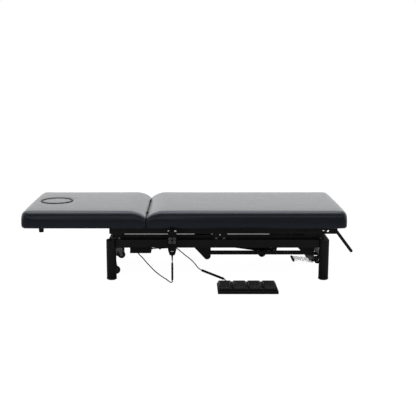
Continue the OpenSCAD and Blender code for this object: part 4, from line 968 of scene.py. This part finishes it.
def makeFloorMat():
    # a softer ribbed panel let into the top of a pad
    c = floorUnit
    x0, x1, y0, y1 = padPlan()
    top, matIn, ribIn = c["padTop"], c["matIn"], c["ribIn"]
    parts = [roundBox("floorMat", (x0 + c["panelIn"], y0 + matIn, top - 1),
                      (x1 - c["panelIn"], y1 - matIn, top + 0.3), 0.5)]
    for i in range(c["ribs"]):
        y = y0 + ribIn + (y1 - y0 - 2 * ribIn) * i / (c["ribs"] - 1)
        parts.append(roundBox("floorMat", (x0 + 12, y - c["ribHalf"], top - 0.6),
                              (x1 - 12, y + c["ribHalf"], top + 1), 0.7))
    return joinAs("floorMat", parts)


dress(makeTray(), "plastic", "base", "floor_unit_tray")
for i in range(4):
    if i == 0:
        floorPad, floorMat = firstPad, firstMat = makeFloorPad(), makeFloorMat()
    else:
        floorPad = copyOf(firstPad, "floorPad%d" % (i + 1), (i * padStep, 0, 0))
        floorMat = copyOf(firstMat, "floorMat%d" % (i + 1), (i * padStep, 0, 0))
    dress(floorPad, "plastic", "floor_pad_%d_body" % (i + 1), "floor_pad_%d" % (i + 1))
    dress(floorMat, "padRubber", "floor_pad_%d_body" % (i + 1))
print("control box and floor unit made")

# castor pedal: light enamelled tread with ribs, black hub and lugs, and a grooved rubber bar
castorPedal = {
    "x0": 688, "x1": 807, "z0": 87, "z1": 77, "thick": 4, "near": -175.5, "far": -64.5, "pivot": (835, 78),
    "hubNear": -149, "hubFar": -91, "hubRadius": 12, "hubBore": 6.3, "arm": (798, 72.5, 79), "armHalf": 6,
    "lugs": (-132, -112), "lugFrom": 791, "lugTo": 817, "lugLow": 76, "lugHigh": 107, "slotIn": 5,
    "bar": (684, 85), "ribStep": 7.4, "rib": 1.9, "ribIn": 4,
}


def makeTread():
    c = castorPedal
    parts = [cutPlate("castorPedal", [(c["x0"], c["z0"] - c["thick"]), (c["x0"], c["z0"]), (c["x1"], c["z1"]),
                                      (c["x1"], c["z1"] - c["thick"])], c["near"], c["far"], 1)]
    # low anti-slip ribs along the tread
    ribbed = c["far"] - c["near"] - 2 * c["ribIn"]
    count = int(ribbed / c["ribStep"])
    for i in range(count + 1):
        y = c["near"] + c["ribIn"] + i * ribbed / count
        line = [(c["x0"] + 6, y, c["z0"] - 0.9), (c["x1"] - 4, y, c["z1"] - 0.7)]
        parts.append(bentWire("rib", line, c["rib"]))
    return joinAs("castorPedal", parts)


def makePedalHub():
    c = castorPedal
    (px, pz), near, far, radius = c["pivot"], c["hubNear"], c["hubFar"], c["hubRadius"]
    armX, armLow, armHigh = c["arm"]
    arm = [(armX, armLow), (armX, armHigh), (px, pz + c["armHalf"]), (px, pz - c["armHalf"])]
    parts = [cutPlate("castorPedalHub", arm, near, far, 1)]
    hub = turned("hub", [(near, radius - 1), (near + 1, radius), (far - 1, radius), (far, radius - 1)],
                 (px, 0, pz), "Y", 40)
    carve(hub, turned("bore", [(near - 11, c["hubBore"]), (far + 11, c["hubBore"])], (px, 0, pz), "Y", 32))
    parts.append(hub)
    plate = roundedOutline([(c["lugFrom"], c["lugLow"], 0), (c["lugTo"], c["lugLow"], 0),
                            (c["lugTo"], c["lugHigh"], 8), (c["lugFrom"], c["lugHigh"], 8)])
    for y in c["lugs"]:
        lug = cutPlate("lug", plate, y, y + c["thick"], 0.6)
        carve(lug, roundBox("slot", (c["lugFrom"] + 7, y - 2, 92), (c["lugTo"] - c["slotIn"], y + 6, 102), 0))
        parts.append(lug)
    return joinAs("castorPedalHub", parts)


dress(makeTread(), "tread", "pedal", "castor_pedal")
dress(makePedalHub(), "frame", "pedal")
barSteps = [(-177, 5.6), (-176, 6.8), (-172, 7)]
for i in range(10):
    y = -168 + 10.6 * i  # a groove every 10.6 mm
    barSteps += [(y, 7), (y + 0.8, 6.2), (y + 2.4, 6.2), (y + 3.2, 7)]
barSteps += [(-64, 6.8), (-63, 5.6)]
pedalBar = turned("castorPedalBar", barSteps, (castorPedal["bar"][0], 0, castorPedal["bar"][1]), "Y", 32)
dress(pedalBar, "rubber", "pedal")

# castor wheels: soft tyre round a nylon hub
castors = {  # swivel axis x, y, and the way that the wheel trails
    "near_head": (-446, -195, 1), "far_head": (-446, 195, 1), "near_foot": (853, -195, 1),
    "far_foot": (853, 195, -1),
}
castorWheel = {"trail": 18, "axleZ": 32, "bore": 4.2, "hubRadius": 18.8}
wheelShape = [(-9.6, 6), (-9.6, 9), (-7, 10.5), (-7, 18.6), (-9, 20), (-9.3, 22), (-6.5, 25.2), (-3, 26),
              (3, 26), (6.5, 25.2), (9.3, 22), (9, 20), (7, 18.6), (7, 10.5), (9.6, 9), (9.6, 6)]
for castorName, (x, y, side) in castors.items():
    centre = (x + castorWheel["trail"] * side, y, castorWheel["axleZ"])
    wheel = turned(castorName.replace("_h", "H").replace("_f", "F") + "Wheel", wheelShape, centre, "Y", 48)
    carve(wheel, turned("bore", [(-15, castorWheel["bore"]), (15, castorWheel["bore"])], centre, "Y", 28))
    smooth(wheel, 35)
    dress(wheel, "tyre", castorName + "_wheel", castorName + "_castor_wheel")
    wheel.data.materials.append(paint["darkHub"])
    middle = spot(*centre)
    for face in wheel.data.polygons:
        if math.hypot(face.center.x - middle.x, face.center.z - middle.z) < castorWheel["hubRadius"] / 1000:
            face.material_index = 1
print("castor pedal and wheels made")


# bolts and pins
boltShape = {"headY": 221, "shank": 8, "baseEnd": 270.4, "topEnd": 269.4, "pin": 6, "z": 248}


def hexBolt(x, side, end):
    # head towards the middle of the bed, washer, shank
    way = "Y" if side > 0 else "-Y"
    centre = (x, side * boltShape["headY"], boltShape["z"])
    shank = [(7.8, boltShape["shank"]), (end - boltShape["headY"], boltShape["shank"])]
    return [turned("boltHead", [(0, 10.6), (0.9, 12), (6.4, 12)], centre, way, 6),
            turned("washer", [(6.4, 12.4), (6.6, 12.8), (7.9, 12.8)], centre, way, 40),
            turned("shank", shank, centre, way, 40)]


def pinWithClips(x, z, near, far):
    # a pin with a groove for a clip near each end
    radius = boltShape["pin"]
    steps = [(near, radius - 0.8), (near + 0.8, radius), (near + 2, radius), (near + 2, radius - 0.8),
             (near + 3, radius - 0.8), (near + 3, radius), (far - 3, radius), (far - 3, radius - 0.8),
             (far - 2, radius - 0.8), (far - 2, radius), (far - 0.8, radius), (far, radius - 0.8)]
    return turned("pin", steps, (x, 0, z), "Y", 32)


baseBolts, topBolts = [], []
for side in (-1, 1):
    for x in (195, 836):  # lower ends of the arms
        baseBolts += hexBolt(x, side, boltShape["baseEnd"])
    for x in (-399, 242):  # upper ends of the arms
        topBolts += hexBolt(x, side, boltShape["topEnd"])
liftRear, liftFront = (580, 112), (175, 168)  # pins of the lift actuator and its rod
baseBolts.append(pinWithClips(*liftRear, -20, 20))
baseBolts.append(pinWithClips(*castorPedal["pivot"], castorPedal["hubNear"] - 10, castorPedal["hubFar"] + 10))
dress(joinAs("basePivotBolts", baseBolts), "zinc", "base", "base_pivot_bolts")
dress(joinAs("topPivotBolts", topBolts), "zinc", "top_frame", "top_pivot_bolts")

# actuators: tube with an end collar, gearbox, motor with cooling rings, clevis
liftSpan = math.hypot(liftRear[0] - liftFront[0], liftFront[1] - liftRear[1])
liftTilt = math.degrees(math.atan2(liftFront[1] - liftRear[1], liftRear[0] - liftFront[0]))


def makeActuator(name, rear, tilt, tubeEnd, boxNear, boxFar, motorX, motorDrop):
    # drawn level from its rear pin towards the head, and then tilted
    x, z = rear
    tube = [(boxNear, 21), (tubeEnd - 14, 21), (tubeEnd - 13, 22.4), (tubeEnd - 1, 22.4), (tubeEnd, 21.4),
            (tubeEnd, 18.5), (boxFar + 20, 18.5)]
    parts = [turned("tube", tube, (x, 0, z), "-X", 48)]
    parts.append(roundBox("gearbox", (x - boxFar, -22, z - 28), (x - boxNear, 22, z + 24), 5, 4))
    parts.append(roundBox("flange", (x - boxFar - 3, -19, z - 22), (x - boxFar + 3, 19, z + 20), 2))
    motor = [(-55, 19), (-54, 22), (-49, 24.6)]
    for y in range(-40, 46, 12):
        motor += [(y - 3, 24.6), (y - 2.4, 23.8), (y - 0.6, 23.8), (y, 24.6)]
    motor += [(49, 24.6), (54, 22), (55, 19)]
    parts.append(turned("motor", motor, (x - motorX, 0, z - motorDrop), "Y", 48))
    clevis = roundBox("clevis", (x - boxNear - 2, -8, z - 9.5), (x, 8, z + 9.5), 1.5)
    eye = turned("eye", [(-8, 9.2), (-7.2, 10), (7.2, 10), (8, 9.2)], (x, 0, z), "Y", 40)
    for part in (clevis, eye):
        carve(part, turned("bore", [(-12, 6.2), (12, 6.2)], (x, 0, z), "Y", 32))
    return tilted(joinAs(name, parts + [clevis, eye]), tilt, x, z)


liftActuator = makeActuator("liftActuator", liftRear, liftTilt, liftSpan - 55, 28, 130, 81, 22)
dress(liftActuator, "plastic", "lift_motor", "lift_actuator")
backActuator = makeActuator("backActuator", (105, 252), 0, 258, 14, 88, 18, 44)
dress(backActuator, "plastic", "back_motor", "back_actuator")

# plastic plugs in the open ends of the rails, a hair inside their outlines
topPlugs, backPlugs = [], []
railPlug = {"yIn": 264.2, "yOut": 288.8, "low": 283.2, "high": 332.8, "edge": 1.6,
            "ends": ((928, 932.4), (-457.4, -453))}
tubePlug = {"yIn": 215.2, "yOut": 239.8, "low": 308.2, "high": 332.8, "edge": 1.2,
            "ends": ((-951.8, -948), (-247, -243))}
for side in (-1, 1):
    for plug, plugs in ((railPlug, topPlugs), (tubePlug, backPlugs)):
        y0, y1 = sorted((side * plug["yIn"], side * plug["yOut"]))
        for x0, x1 in plug["ends"]:
            plugs.append(roundBox("plug", (x0, y0, plug["low"]), (x1, y1, plug["high"]), plug["edge"]))
dress(joinAs("topRailPlugs", topPlugs), "plastic", "top_frame")
dress(joinAs("backTubePlugs", backPlugs), "plastic", "backrest")
print("bolts, actuators and plugs made")

# floor, light and background
studio = {
    "floorHalf": 14, "floorWhite": "#c4c4c4", "floorGlow": 1.17, "floorVeil": 0.84, "world": 0.4,
    "overheadPower": 60, "fillPower": 26, "pedalPower": 250, "pedalAngle": 4.0, "pedalSquash": 0.35,
    "pedalLamp": (745, -2400, 450), "pedalMiddle": (742, -120, 90),
}
deselectAll()
bpy.ops.mesh.primitive_plane_add(size=studio["floorHalf"] * 2, location=(0, 4, -0.0005))
floor = bpy.context.object
floor.name = "studioFloor"
floorPaint, tree = newMaterial("paleStudioFloor")
sheet = addNode(tree, "ShaderNodeBsdfDiffuse", inputs={"Color": hexColour(studio["floorWhite"])})
glow = addNode(tree, "ShaderNodeEmission", inputs={"Color": (1, 1, 1, 1), "Strength": studio["floorGlow"]})
ray = addNode(tree, "ShaderNodeLightPath")
seen = addNode(tree, "ShaderNodeMath", {"operation": "MAXIMUM"},
               {0: (ray, "Is Camera Ray"), 1: (ray, "Is Transmission Ray")})
veil = addNode(tree, "ShaderNodeMath", {"operation": "MULTIPLY"}, {0: (seen, 0), 1: studio["floorVeil"]})
mix = addNode(tree, "ShaderNodeMixShader", inputs={0: (veil, 0), 1: (sheet, "BSDF"), 2: (glow, "Emission")})
addNode(tree, "ShaderNodeOutputMaterial", inputs={"Surface": (mix, "Shader")})
floor.data.materials.append(floorPaint)

world = bpy.data.worlds.new("studioWorld")
bpy.context.scene.world = world
world.use_nodes = True
tree = world.node_tree
tree.nodes.clear()
place = addNode(tree, "ShaderNodeTexCoord")
axes = addNode(tree, "ShaderNodeSeparateXYZ", inputs={"Vector": (place, "Generated")})
# the studio is bright behind and above the bed, and darker in front of it
behind = addNode(tree, "ShaderNodeMapRange", inputs={
    "Value": (axes, "Y"), "From Min": -0.6, "From Max": 0.35, "To Min": 0.2, "To Max": 1.45})
ray = addNode(tree, "ShaderNodeLightPath")
glossy = addNode(tree, "ShaderNodeMath", {"operation": "MAXIMUM"},
                 {0: (ray, "Is Glossy Ray"), 1: (ray, "Is Transmission Ray")})
dim = addNode(tree, "ShaderNodeMix", {"data_type": "FLOAT"},
              {0: (glossy, 0), 2: studio["world"], 3: (behind, "Result")})
strength = addNode(tree, "ShaderNodeMix", {"data_type": "FLOAT"},
                   {0: (ray, "Is Camera Ray"), 2: (dim, 0), 3: 1.0})
sky = addNode(tree, "ShaderNodeBackground", inputs={"Color": (1, 1, 1, 1), "Strength": (strength, 0)})
addNode(tree, "ShaderNodeOutputWorld", inputs={"Surface": (sky, "Background")})


def placeLamp(name, lamp, place, target):
    piece = bpy.data.objects.new(name, lamp)
    piece.location = spot(*place)
    piece.rotation_euler = (spot(*target) - piece.location).to_track_quat("-Z", "Y").to_euler()
    bpy.context.scene.collection.objects.link(piece)
    return piece


def softLamp(name, place, target, size, power):
    lamp = bpy.data.lights.new(name, "AREA")
    lamp.shape = "RECTANGLE"
    lamp.size, lamp.size_y = size
    lamp.energy = power
    placeLamp(name, lamp, place, target)


def narrowLamp(name, place, target, angle, squash, power):
    # a spot with a sharp, flattened beam
    lamp = bpy.data.lights.new(name, "SPOT")
    lamp.energy = power
    lamp.spot_size = math.radians(angle)
    lamp.spot_blend = 0.4
    lamp.shadow_soft_size = 0.01
    placeLamp(name, lamp, place, target).scale = (1, squash, 1)


softLamp("overheadSoftbox", (0, 600, 3600), (0, 0, 400), (4.0, 2.4), studio["overheadPower"])
softLamp("frontFill", (0, -3900, 2300), (0, 0, 300), (9.0, 1.0), studio["fillPower"])
# the pale castor pedal lies in the shade of the bed; the flat beam leaves the bracket over it dark
narrowLamp("pedalSpot", studio["pedalLamp"], studio["pedalMiddle"], studio["pedalAngle"],
           studio["pedalSquash"], studio["pedalPower"])
bpy.context.scene.view_settings.view_transform = "Standard"
print("studio set")
